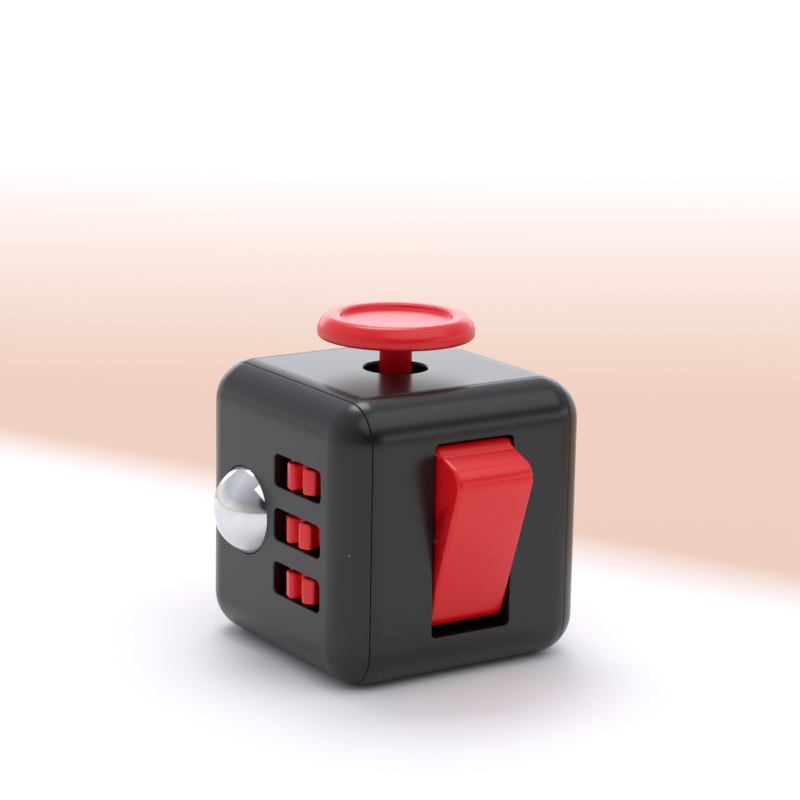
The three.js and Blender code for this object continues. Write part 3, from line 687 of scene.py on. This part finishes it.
def seam_rim(edge: Array, normal: Array, slope: Array, gap: Array,
             inner: Array) -> Patch:
    """Close a panel along its seam.

    The outer edge rolls over by a small arc until it faces across the gap, and then a flat wall
    runs in to the inner edge.

    Args:
        edge: the points of the outer edge, n x 3, as a closed loop.
        normal: the outward direction at each point.
        slope: the direction in which the surface runs out over the edge.
        gap: the direction across the gap.
        inner: the points of the inner edge.

    Returns:
        The rim.
    """
    most = np.arccos(np.clip(np.sum(normal * gap, axis=1), -1, 1))
    angle = (np.linspace(0, 1, 6)[:, None] * most[None])[..., None]
    roll = (np.cos(angle) - 1) * normal[None] + np.sin(angle) * slope[None]
    return grid(np.concatenate([edge[None] + SEAM_LIP * roll, inner[None]]), closed=True)


def ring_loop(values: Array) -> Array:
    """The border of a grid as one closed anticlockwise loop."""
    return np.concatenate([values[0, :-1], values[:-1, -1], values[-1, :0:-1], values[:0:-1, 0]])


@dataclass
class Shell:
    """The two side caps and the ring of four panels between them."""

    slot_size: tuple[float, float] = (10.0, 3.75)
    slot_corner: float = 0.75
    slot_lip: float = 0.16
    rocker_slot: tuple[float, float] = (10.6, 22.4)
    rocker_slot_corner: float = 0.7
    rocker_slot_lip: float = 0.14
    stick_hole: float = 3.75
    stick_lip: float = 0.22
    ball_hole: float = 5.2
    ball_lip: float = 0.08
    ball_clearance: float = 0.2
    button_clearance: float = 0.3
    button_lip: float = 0.2
    dial_clearance: float = 0.3
    dial_lip: float = 0.2
    dial_floor: tuple[float, float] = (13.5, 14.3)
    dial_cup: float = 0.8
    spindle_hole: float = 1.65
    dish: float = 10.0
    dish_depth: float = 1.4
    dish_brim: float = 0.6
    dish_floor: float = 1.0
    outer: Skin = field(default_factory=lambda: Skin(EDGE))
    inner: Skin = field(default_factory=lambda: Skin(EDGE - WALL))
    cap_inner: Skin = field(default_factory=lambda: Skin(HALF - WALL - 12.3, 12.3))

    def build(self) -> None:
        """Make all six panels."""
        self.cap("left_cap", Face.LEFT, self.left_openings())
        self.cap("right_cap", Face.RIGHT, self.right_openings())
        self.panel("front_panel", Face.FRONT, self.front_openings())
        self.panel("back_panel", Face.BACK, self.back_openings())
        self.panel("top_plate", Face.TOP, self.top_openings())
        self.panel("bottom_plate", Face.BOTTOM, self.bottom_openings())

    def cap(self, node: str, face: Face, openings: list[Opening]) -> None:
        """One side cap: a flat face, a rounded edge all round it and a plane seam."""
        seam = SEAM_X + SEAM_GAP / 2
        outer_limit = math.acos((seam - CORE + SEAM_LIP) / (EDGE - SEAM_LIP))
        inner_limit = math.acos((seam - self.cap_inner.core) / self.cap_inner.radius)
        points, normal, slope = self.outer.cap(outer_limit)
        inner_points = self.cap_inner.cap(inner_limit)[0]
        gap = np.array([0, 0, -1.0])
        patches = [
            grid(points, closed=True), self.outer.flat_frame(), self.outer.flat_face(openings, 0),
            grid(inner_points, closed=True), self.cap_inner.flat_frame(),
            self.cap_inner.flat_face(openings, -1),
            seam_rim(points[-1], normal[-1], slope[-1], gap, inner_points[-1]),
        ]
        self.add(node, face, openings, patches)

    def panel(self, node: str, face: Face, openings: list[Opening]) -> None:
        """One panel of the ring. A plate ends on its flat, and a front or back after its bend."""
        plate = face in (Face.TOP, Face.BOTTOM)
        roll, inner_roll = EDGE - SEAM_LIP, self.inner.radius
        side = SEAM_X - SEAM_GAP / 2 - CORE
        sides = math.asin((side - SEAM_LIP) / roll), math.asin(side / inner_roll)
        if plate:
            end = SEAM_Y - SEAM_GAP / 2 - CORE
            ends = math.asin((end - SEAM_LIP) / roll), math.asin(end / inner_roll)
        else:
            end = SEAM_Y + SEAM_GAP / 2 - CORE
            ends = math.acos((end + SEAM_LIP) / roll), math.acos(end / inner_roll)
        points, normal = self.outer.panel(sides[0], ends[0])
        inner_points = self.inner.panel(sides[1], ends[1])[0]
        rows, columns = points.shape[:2]
        middle = np.zeros((rows - 1, columns - 1), bool)
        middle[self.outer.steps + 1, self.outer.steps + 1] = True
        patches = [
            grid(points, left_out=middle), self.outer.flat_face(openings, 0),
            grid(inner_points, left_out=middle), self.inner.flat_face(openings, -1),
            self.panel_rim(points, normal, inner_points, plate),
        ]
        self.add(node, face, openings, patches)

    @staticmethod
    def panel_rim(points: Array, normal: Array, inner: Array, plate: bool) -> Patch:
        """The rim round a ring panel, whose two sides and two ends face across their seams."""
        shape = points.shape[:2]
        a = np.arcsin(normal[..., 0])
        b = np.arctan2(normal[..., 1], normal[..., 2])
        side_slope = np.stack([np.cos(a), -np.sin(a) * np.sin(b), -np.sin(a) * np.cos(b)], axis=-1)
        end_slope = np.stack([np.zeros(shape), np.cos(b), -np.sin(b)], axis=-1)
        side_way = np.zeros(shape)
        side_way[:, 0], side_way[:, -1] = -1, 1
        end_way = np.zeros(shape)
        end_way[0], end_way[-1] = -1, 1
        slope = side_slope * side_way[..., None] + end_slope * end_way[..., None]
        side_gap = np.stack([side_way, np.zeros(shape), np.zeros(shape)], axis=-1)
        end_across = end_way if plate else np.zeros(shape)
        end_inward = np.zeros(shape) if plate else -np.abs(end_way)
        end_gap = np.stack([np.zeros(shape), end_across, end_inward], axis=-1)
        gap = np.where(side_way[..., None] != 0, side_gap, end_gap)
        loops = [ring_loop(values) for values in (points, normal, slope, gap, inner)]
        return seam_rim(*loops)

    @staticmethod
    def add(node: str, face: Face, openings: list[Opening], patches: list[Patch]) -> None:
        """Line the openings and put the panel on its side of the cube."""
        lined = patches + [patch for opening in openings for patch in opening.patches()]
        add_piece(node + "_shell", lined, SHELL_BLACK, "housing", [node], face.axes)

    def left_openings(self) -> list[Opening]:
        """Three slots for the gears, and the ball's hole, whose wall follows the ball."""
        slots = [Opening.plain(rounded_box(*self.slot_size, self.slot_corner, Face.LEFT.spot(gear)),
                               self.slot_lip)
                 for gear in ("gear_top", "gear_middle", "gear_bottom")]
        low, high = node_box("ball")
        hollow = (high - low)[2] / 2 + self.ball_clearance
        out = (Face.LEFT.axes @ middle_of("ball"))[2]
        depth = np.linspace(self.ball_lip + 0.3, WALL, 4)
        follow = np.sqrt(hollow ** 2 - (HALF - depth - out) ** 2) - self.ball_hole
        section = np.vstack([[[self.ball_lip + HOLD / 2, 0]], quarter(self.ball_lip),
                             np.column_stack([follow, -depth]), [[follow[-1] + HOLD, -WALL]]])
        return [*slots, Opening(circle(self.ball_hole, Face.LEFT.spot("ball"), 128), [section])]

    def right_openings(self) -> list[Opening]:
        """A round hole for each button."""
        radius = BUTTON_RADIUS + self.button_clearance
        return [Opening.plain(circle(radius, Face.RIGHT.spot(button)), self.button_lip)
                for button in BUTTONS]

    def front_openings(self) -> list[Opening]:
        """The rocker's upright slot."""
        spot = Face.FRONT.spot("rocker_axle")
        outline = rounded_box(*self.rocker_slot, self.rocker_slot_corner, spot)
        return [Opening.plain(outline, self.rocker_slot_lip)]

    def back_openings(self) -> list[Opening]:
        """The dial's well: a wall, a floor with the spindle's hole, and the cup behind."""
        low, high = node_box("dial")
        radius = (high - low)[2] / 2 + self.dial_clearance
        back, front = np.array(self.dial_floor) - HALF
        hole, cup, lip = self.spindle_hole - radius, self.dial_cup, self.dial_lip
        floor = [[0, front + lip], [-lip, front], [hole + lip / 2, front], [hole, front - lip / 2],
                 [hole, back], [cup, back], [cup, -WALL], [cup + HOLD, -WALL]]
        section = np.vstack([[[lip + HOLD, 0]], quarter(lip), floor])
        return [Opening(circle(radius, points=144), [section])]

    def top_openings(self) -> list[Opening]:
        """The hole that the joystick's stem comes up through."""
        return [Opening.plain(circle(self.stick_hole), self.stick_lip)]

    def bottom_openings(self) -> list[Opening]:
        """The worry stone: a round dish in the outer face, and a thickened floor behind it."""
        bowl = (self.dish ** 2 + self.dish_depth ** 2) / (2 * self.dish_depth)
        radius = np.linspace(self.dish - 0.5, 0, 25)
        depth = bowl - self.dish_depth - np.sqrt(bowl ** 2 - radius ** 2)
        edge, back = self.dish_brim, -WALL - self.dish_floor
        # The brim's few points ease the face into the bowl.
        brim = [[edge, 0], [edge - 0.1, 0], [0.25, -0.01], [0, -0.045], [-0.25, -0.095]]
        hollow = np.vstack([brim, np.column_stack([radius - self.dish, depth])])
        behind = np.array([[-self.dish, back], [edge - 0.1, back], [edge, back + 0.1],
                           [edge, -WALL], [edge + HOLD, -WALL]])
        return [Opening(circle(self.dish, points=144), [hollow, behind])]


# ---- slabs: gears and the rocker


def slab(outline: Array, half: float, edge: float, bore: float, steps: int = 5) -> list[Patch]:
    """A flat part of any outline, with rounded edges and a round bore.

    Args:
        outline: its shape, n x 2, anticlockwise about the bore.
        half: half its thickness.
        edge: rounding of its edges.
        bore: radius of the bore at the outline's origin.
        steps: points on an edge's rounding, less one.

    Returns:
        Its surface, with the thickness along the third axis.
    """
    lip = quarter(edge, steps)
    upper = np.vstack([[[-edge - HOLD, half]], np.column_stack([-lip[:, 0], half + lip[:, 1]])])
    side = np.vstack([upper, upper[::-1] * np.array([1, -1])])
    hole = circle(bore, points=40)
    inside = outline - (edge + HOLD) * outward_of(outline)
    wall = collar(hole, np.array([[0, half], [0, -half]]))
    return [collar(outline, side), wall, *[flat_fill([inside, hole], at) for at in (half, -half)]]


@dataclass
class Gears:
    """The three red wheels on their axle."""

    radius: float = 5.0
    root: float = 3.5
    teeth: int = 8
    half: float = 1.5
    edge: float = 0.28
    bore: float = 0.9
    phases: tuple = (("gear_top", 28), ("gear_middle", 21), ("gear_bottom", 28))

    def outline(self, phase: float) -> Array:
        """Broad teeth: each runs round at the tip and is rounded into its flanks and roots."""
        step = 2 * math.pi / self.teeth
        shares = np.array([-0.31, -0.25, 0.0, 0.25, 0.31])
        radii = np.array([self.root, self.radius, self.radius, self.radius, self.root])
        rounding = np.array([0.3, 0.5, 6.0, 0.5, 0.3])
        angle = (np.arange(self.teeth)[:, None] + shares[None]) * step + math.radians(phase)
        corners = np.stack([np.cos(angle), np.sin(angle)], axis=-1) * radii[None, :, None]
        return rounded(corners.reshape(-1, 2), np.tile(rounding, self.teeth), steps=5)

    def build(self) -> None:
        """Make the three wheels."""
        for node, phase in self.phases:
            patches = slab(self.outline(phase), self.half, self.edge, self.bore)
            add_piece(node + "_wheel", patches, SIGNAL_RED, node, [node], centre=middle_of(node))


@dataclass
class Rocker:
    """The red rocker bar: a flat face with a rounded nose at each end, and a round hub behind."""

    width: float = 10.1
    face: float = 4.45
    nose: float = 10.3
    nose_radius: float = 2.3
    crease: tuple[float, float] = (10.42, -0.1)
    crease_radius: float = 0.05
    rib: float = 0.07
    end: float = 10.93
    end_radius: float = 0.2
    back: float = -1.9
    edge: float = 0.5
    hub: float = 2.4
    bore: float = 0.95
    tilt: float = 18.5

    def outline(self) -> Array:
        """Side view about the pivot, [up, out]: the bar, creased near its ends, and its hub."""
        root = math.asin(self.back / self.hub)
        swing = np.linspace(math.pi - root, 2 * math.pi + root, 9)
        hub = self.hub * np.column_stack([np.cos(swing), np.sin(swing)])
        up, out = self.crease
        rib = [[up, out - 0.1], [up + self.rib, out], [up - 0.02, out + 0.12]]
        end = [[self.end, self.back], *rib, [self.nose, self.face]]
        mirrored = [[-place, height] for place, height in reversed(end)]
        radii = [self.end_radius, *[self.crease_radius] * 3, self.nose_radius]
        return rounded([*mirrored, *hub.tolist(), *end], [*radii[::-1], *[0.5] * len(hub), *radii],
                       steps=10)

    def build(self) -> None:
        """Make the bar, leaning as the joint rests."""
        lean = math.radians(self.tilt)
        up = [0, -math.sin(lean), math.cos(lean)]
        out = [0, -math.cos(lean), -math.sin(lean)]
        axes = np.array([up, out, [1, 0, 0]])
        patches = slab(self.outline(), self.width / 2, self.edge, self.bore, steps=6)
        add_piece("rocker_bar", patches, SIGNAL_RED, "rocker", ["rocker"], axes,
                  middle_of("rocker_axle"))


# ---- turned parts


@dataclass
class Joystick:
    """The red thumb stick: a dished cap on a stem, and the ball joint's hub below."""

    rim: float = 9.15
    dish: float = 6.45
    dish_depth: float = 0.62
    stem: float = 1.9
    pivot: float = 11.5
    hub: float = 2.3
    pin: tuple[float, float] = (0.6, 3.7)

    def __post_init__(self) -> None:
        """Read the cap's underside and crest from its CAD node."""
        low, high = node_box("joystick_cap")
        self.low, self.high = (np.array([low[2], high[2]]) - MIDDLE[2]).tolist()

    def cap_profile(self) -> Array:
        """Underside, broad rounded rim and shallow dish, as [radius, height] from axis to axis."""
        low, crest, rim, dish, socket = self.low, self.high, self.rim, self.dish, self.stem + 0.1
        floor = crest - self.dish_depth
        corners = [
            [0, low + 1], [socket, low + 1], [socket, low], [rim - 1.6, low + 0.28],
            [rim - 0.02, low + 0.5], [rim, crest - 1.25], [rim - 0.95, crest + 0.02],
            [dish + 0.55, crest], [dish + 0.1, crest - 0.12], [dish - 0.1, floor + 0.06],
            [dish - 0.5, floor], [3.5, floor - 0.08], [0, floor - 0.1],
        ]
        radii = [0, 0.05, 0.1, 1.5, 0.45, 1.6, 1.6, 0.6, 0.14, 0.12, 0.6, 6.0, 0]
        return rounded(corners, radii, steps=8, closed=False)

    def stem_profile(self) -> Array:
        """Foot, spherical hub and the straight stem, as [radius, height]."""
        angle = np.linspace(-0.28 * math.pi, 0.2 * math.pi, 24)
        low, pivot, stem, tenon = self.low, self.pivot, self.stem, self.stem + 0.08
        hub = np.column_stack([self.hub * np.cos(angle), pivot + self.hub * np.sin(angle)])
        foot = [[0, pivot - 2.7], [1.2, pivot - 2.7], [1.3, pivot - 2.6]]
        top = [[stem, pivot + 1.45], [stem, low - 0.25], [tenon, low - 0.02], [tenon, low + 0.9],
               [0, low + 0.9]]
        return np.vstack([foot, hub, top])

    def build(self) -> None:
        """Make the cap, the stem and its trunnions."""
        add_piece("joystick_cap_disc", [turned(self.cap_profile(), 160)], SIGNAL_RED,
                  "joystick", ["joystick_cap"])
        thick, far = self.pin
        pin = rounded([[0, -far], [thick, -far], [thick, far], [0, far]], 0.15, closed=False)
        add_piece("joystick_trunnions", [turned(pin, 24)], SIGNAL_RED, "joystick", [],
                  Face.FRONT.axes, (0, 0, self.pivot))
        add_piece("joystick_stem_rod", [turned(self.stem_profile(), 96)], SIGNAL_RED,
                  "joystick", ["joystick_stem"])


@dataclass
class Ball:
    """The chromed ball that rolls and presses."""

    radius: float = 5.6

    def build(self) -> None:
        """Make the ball: a half circle carried round its axis."""
        angle = np.linspace(-math.pi / 2, math.pi / 2, 65)
        profile = self.radius * np.column_stack([np.cos(angle), np.sin(angle)])
        profile[[0, -1], 0] = 0
        add_piece("chrome_ball", [turned(profile)], CHROME, "ball", ["ball"],
                  centre=middle_of("ball"))


@dataclass
class Buttons:
    """The five click buttons."""

    radius: float = BUTTON_RADIUS
    flange: float = 3.7
    low: float = 13.6
    collar: float = 14.6
    top: float = 17.8

    def build(self) -> None:
        """Make the buttons: a flange, a straight side and a softly domed top."""
        radius, top = self.radius, self.top
        corners = [[0, self.low], [self.flange, self.low], [self.flange, self.collar],
                   [radius, self.collar], [radius, top - 0.1], [radius * 0.5, top + 0.02],
                   [0, top + 0.05]]
        profile = rounded(corners, [0, 0.1, 0.1, 0.05, 0.55, 6.0, 0], closed=False)
        for node in BUTTONS:
            spot = middle_of(node) * np.array([0, 1, 1])
            add_piece(node + "_cap", [turned(profile, 72)], SIGNAL_RED, node, [node],
                      Face.RIGHT.axes, spot)


@dataclass
class Dial:
    """The spinning dial: a coin with a notched rim, a finger dimple and a spindle behind."""

    radius: float = 8.7
    face: float = 17.3
    back: float = 15.0
    foot: float = 13.2
    spindle: float = 1.5
    bore: float = 0.75
    socket: float = 15.6
    notches: int = 18
    notch_depth: float = 0.4
    notch_width: float = 0.42
    notch_floor: float = 16.2
    dimple_height: float = 4.9
    dimple_ball: float = 4.6
    dimple_lift: float = 3.2
    dimple_softness: float = 0.06
    edge: float = 0.4
    segments: int = 360
    rings: int = 70

    def notch(self, angle: Array) -> Array:
        """How far the rim is cut in at an angle: a smooth hollow at every notch."""
        step = 2 * math.pi / self.notches
        offset = (angle + step / 2) % step - step / 2
        return self.notch_depth * np.exp(-(offset * self.radius / self.notch_width) ** 2)

    def front(self, angle: Array, rim: Array) -> Array:
        """The face, from its middle to its edge, hollowed by a ball near the rim."""
        share = np.linspace(0, 1, self.rings)[:, None]
        reach = share * (rim - self.edge)[None]
        across, up = reach * np.cos(angle), reach * np.sin(angle)
        distance = np.hypot(across, up - self.dimple_height)
        hollow = self.dimple_lift - np.sqrt(np.maximum(self.dimple_ball ** 2 - distance ** 2, 0))
        height = -self.dimple_softness * np.logaddexp(0, -hollow / self.dimple_softness)
        return np.stack([across, up, self.face + height], axis=-1)

    def build(self) -> None:
        """Make the dial as one grid of rings."""
        angle = np.linspace(0, 2 * math.pi, self.segments, endpoint=False)
        cut = self.notch(angle)
        lip = quarter(self.edge)[1:]
        cut_rows = [[self.radius - inset, self.face + drop] for inset, drop in lip]
        cut_rows += [[self.radius, self.notch_floor + 0.05]]
        plain_rows = [
            [self.radius, self.notch_floor], [self.radius, self.back + 0.2],
            [self.radius - 0.2, self.back], [self.spindle, self.back], [self.spindle, self.foot],
            [self.bore, self.foot], [self.bore, self.socket], [0, self.socket],
        ]
        radius, height = np.array(cut_rows + plain_rows).T[:, :, None]
        notched = np.repeat([1.0, 0.0], [len(cut_rows), len(plain_rows)])[:, None]
        reach = radius - notched * cut[None]
        side = np.stack([reach * np.cos(angle), reach * np.sin(angle),
                         np.broadcast_to(height, reach.shape)], axis=-1)
        whole = grid(np.concatenate([self.front(angle, self.radius - cut), side]), closed=True)
        add_piece("spin_dial", [whole], SIGNAL_RED, "dial", ["dial"], Face.BACK.axes)


@dataclass
class InnerParts:
    """The CAD nodes that stay as they are: brackets, springs, screws, axles and domes."""

    steel_words: tuple = ("spring", "screw", "axle", "plunger", "washer")

    def slot_for(self, node: str) -> str:
        """The material slot of an inner part, by what it is."""
        if "dome" in node:
            return "silicone"
        steel = any(word in node for word in self.steel_words) and node != "ball_plunger"
        return "spring_steel" if steel else "black_inner"

    def build(self) -> None:
        """Dress every CAD node that still shows."""
        for name, node in sorted(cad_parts.items()):
            if node.hide_render:
                continue
            slot = self.slot_for(name)
            look = FINISH_OF_SLOT[slot]
            node.data.materials.clear()
            node.data.materials.append(look.material())
            log.info("%s: CAD node, %s", name, look.name)


# ---- the studio


@dataclass
class Studio:
    """A pale table top, soft light and the camera.

    Angles are in degrees. The camera's distances are in millimetres and the floor's in metres.
    The room's front and back are each a place along +Y, from -1 to 1, and the brightness there.
    A tint is a height from 0 to 1 and the colour there.
    """

    azimuth: float = -33.34
    elevation: float = 13.02
    roll: float = 1.06
    distance: float = 320.7
    aside: float = -0.82
    below: float = -12.27
    lens: float = 123.2
    sensor: float = 36.0
    floor_side: float = 6.0
    paper_turn: float = 65.7
    paper_edge: tuple[float, float] = (0.036, 0.056)
    paper_colours: tuple = (linear(250, 248, 248), linear(254, 252, 252))
    # The warm surface's colour, then its paler far colour: a painted brightening, not the surface's
    # own tone.
    surface_and_brightened_colours: tuple = (linear(222, 190, 169), linear(246, 240, 236))
    far_brightening: tuple[float, float] = (0.14, 0.42)
    onlooker: tuple[float, float] = (-12, 24)
    onlooker_edge: tuple[float, float] = (0.9, 0.96)
    onlooker_shade: float = 0.15
    room_front: tuple[float, float] = (-0.75, 0.4)
    room_back: tuple[float, float] = (0.35, 1.1)
    room_tints: tuple = ((0.0, linear(255, 246, 238)), (0.08, linear(246, 244, 246)),
                         (0.35, linear(206, 209, 222)), (1.0, linear(226, 226, 232)))

    def build(self) -> None:
        """Set up the floor, the surroundings, the lights and the camera."""
        self.floor()
        self.surroundings()
        self.lights()
        self.camera()

    def floor(self) -> None:
        """White paper with a faint grain. Past its edge lies a warm surface, painted paler far away
        as brighter light.
        """
        side = np.linspace(-self.floor_side / 2, self.floor_side / 2, 9)
        across, up = np.meshgrid(side, side)
        patch = grid(np.stack([across, up, np.zeros(across.shape)], axis=-1))
        data = bpy.data.meshes.new("table_top")
        data.from_pydata(patch.points.tolist(), [], patch.faces.tolist())
        sheet = Sheet("pale_paper")
        far = sheet.ramp(self.along(sheet, self.paper_turn), *self.paper_edge, 0, 1)
        # Painted brightening: the warm surface pales with distance, light painted into its colour.
        painted_far_brightening = sheet.ramp(self.along(sheet, -self.azimuth), *self.far_brightening, 0, 1)
        clouds = sheet.ramp(sheet.noise(40, 3), 0.3, 0.7, 0, 1)
        paper = sheet.blend(clouds, *self.paper_colours)
        surface = sheet.blend(painted_far_brightening, *self.surface_and_brightened_colours)
        relief = sheet.bump(sheet.noise(0.5, 3), 0.01)
        colour = sheet.blend(far, paper, surface)
        data.materials.append(sheet.shade(Base_Color=colour, Roughness=0.75, Specular_IOR_Level=0.2,
                                          Normal=relief))
        top = put_in_scene("table_top", data)

    @staticmethod
    def along(sheet: Sheet, turn: float) -> Socket:
        """Metres along the floor from the origin, in a direction so many degrees right of +Y."""
        inputs = {"Vector": sheet.place, "Rotation": (0, 0, math.radians(turn))}
        place = sheet.add("Mapping", inputs).outputs["Vector"]
        return sheet.add("SeparateXYZ", {"Vector": place}).outputs["Y"]

    def surroundings(self) -> None:
        """A pale room: warm at the horizon, cooler above, dim in front, dark at the camera."""
        world = bpy.data.worlds.new("pale_room")
        bpy.context.scene.world = world
        world.use_nodes = True
        room = Layout(world.node_tree, "Generated")
        parts = room.add("SeparateXYZ", {"Vector": room.place}).outputs
        tint = room.add("ValToRGB", {"Fac": parts["Z"]})
        stops = tint.color_ramp.elements
        while len(stops) < len(self.room_tints):
            stops.new(0.5)
        for stop, (position, colour) in zip(stops, self.room_tints):
            stop.position = position
            stop.color = colour
        side = room.ramp(parts["Y"], self.room_front[0], self.room_back[0],
                         self.room_front[1], self.room_back[1])
        inputs = {0: room.place, 1: self.way(self.onlooker)}
        near = room.add("VectorMath", inputs, operation="DOT_PRODUCT").outputs["Value"]
        shade = room.ramp(near, *self.onlooker_edge, 1.0, self.onlooker_shade)
        room.wire(world.node_tree.nodes["Background"],
                  {"Color": tint.outputs["Color"], "Strength": room.product(side, shade)})

    @staticmethod
    def way(towards: tuple[float, float]) -> Array:
        """The direction at an azimuth, from the front, and an elevation, in degrees."""
        azimuth, elevation = np.radians(towards)
        right, back, level = math.sin(azimuth), -math.cos(azimuth), math.cos(elevation)
        return np.array([right * level, back * level, math.sin(elevation)])

    def lights(self) -> None:
        """Two low windows, behind and at the front right, and two soft panels above them."""
        bpy.context.scene.view_settings.view_transform = "Standard"
        self.lamp("window_behind", (150, 15), 1.2, (1.5, 0.42), 1.4, (0.93, 0.95, 1.0))
        self.lamp("window_right", (44, 12), 1.1, (1.0, 0.2), 1.3, (1.0, 0.98, 0.95))
        self.lamp("panel_front", (15, 58), 1.0, (1.4, 0.8), 1.15, (0.96, 0.97, 1.0))
        self.lamp("panel_overhead", (165, 64), 0.9, (0.45, 0.4), 5.0, (0.97, 0.98, 1.0))

    @classmethod
    def lamp(cls, name: str, towards: tuple[float, float], reach: float, size: tuple[float, float],
             brightness: float, colour: tuple[float, float, float]) -> None:
        """One rectangular lamp that faces the object.

        Args:
            name: its name.
            towards: azimuth and elevation from the object, in degrees; azimuth 0 is in front.
            reach: metres from the object.
            size: width and height in metres.
            brightness: how bright its face looks, where 1 is a white wall's.
            colour: its colour.
        """
        way = cls.way(towards)
        data = bpy.data.lights.new(name, "AREA")
        data.shape = "RECTANGLE"
        data.size, data.size_y = size
        data.energy = brightness * math.pi * size[0] * size[1]
        data.color = colour
        lamp = put_in_scene(name, data)
        lamp.location = Vector(MIDDLE * MM + way * reach)
        lamp.rotation_euler = Vector(way).to_track_quat("Z", "Y").to_euler()

    def camera(self) -> None:
        """A long lens, a little above the object, that looks past its front left edge."""
        azimuth, roll = np.radians([self.azimuth, self.roll])
        back = self.way((self.azimuth, self.elevation))
        level = np.array([math.cos(azimuth), math.sin(azimuth), 0])
        upright = np.cross(back, level)
        right = math.cos(roll) * level + math.sin(roll) * upright
        up = math.cos(roll) * upright - math.sin(roll) * level
        eye = MIDDLE + back * self.distance - right * self.aside - up * self.below
        data = bpy.data.cameras.new("camera")
        data.lens = self.lens
        data.sensor_width = self.sensor
        data.clip_start, data.clip_end = 0.01, 20
        camera = put_in_scene("camera", data)
        turn = Matrix(np.column_stack([right, up, back]).tolist()).to_4x4()
        camera.matrix_world = Matrix.Translation(Vector(eye * MM)) @ turn
        bpy.context.scene.camera = camera


def main() -> None:
    """Build the studio and every sub-assembly."""
    logging.basicConfig(level=logging.INFO, format="%(message)s")
    for part in (Studio, Shell, Joystick, Rocker, Gears, Ball, Buttons, Dial, InnerParts):
        part().build()


if __name__ == "__main__":
    main()
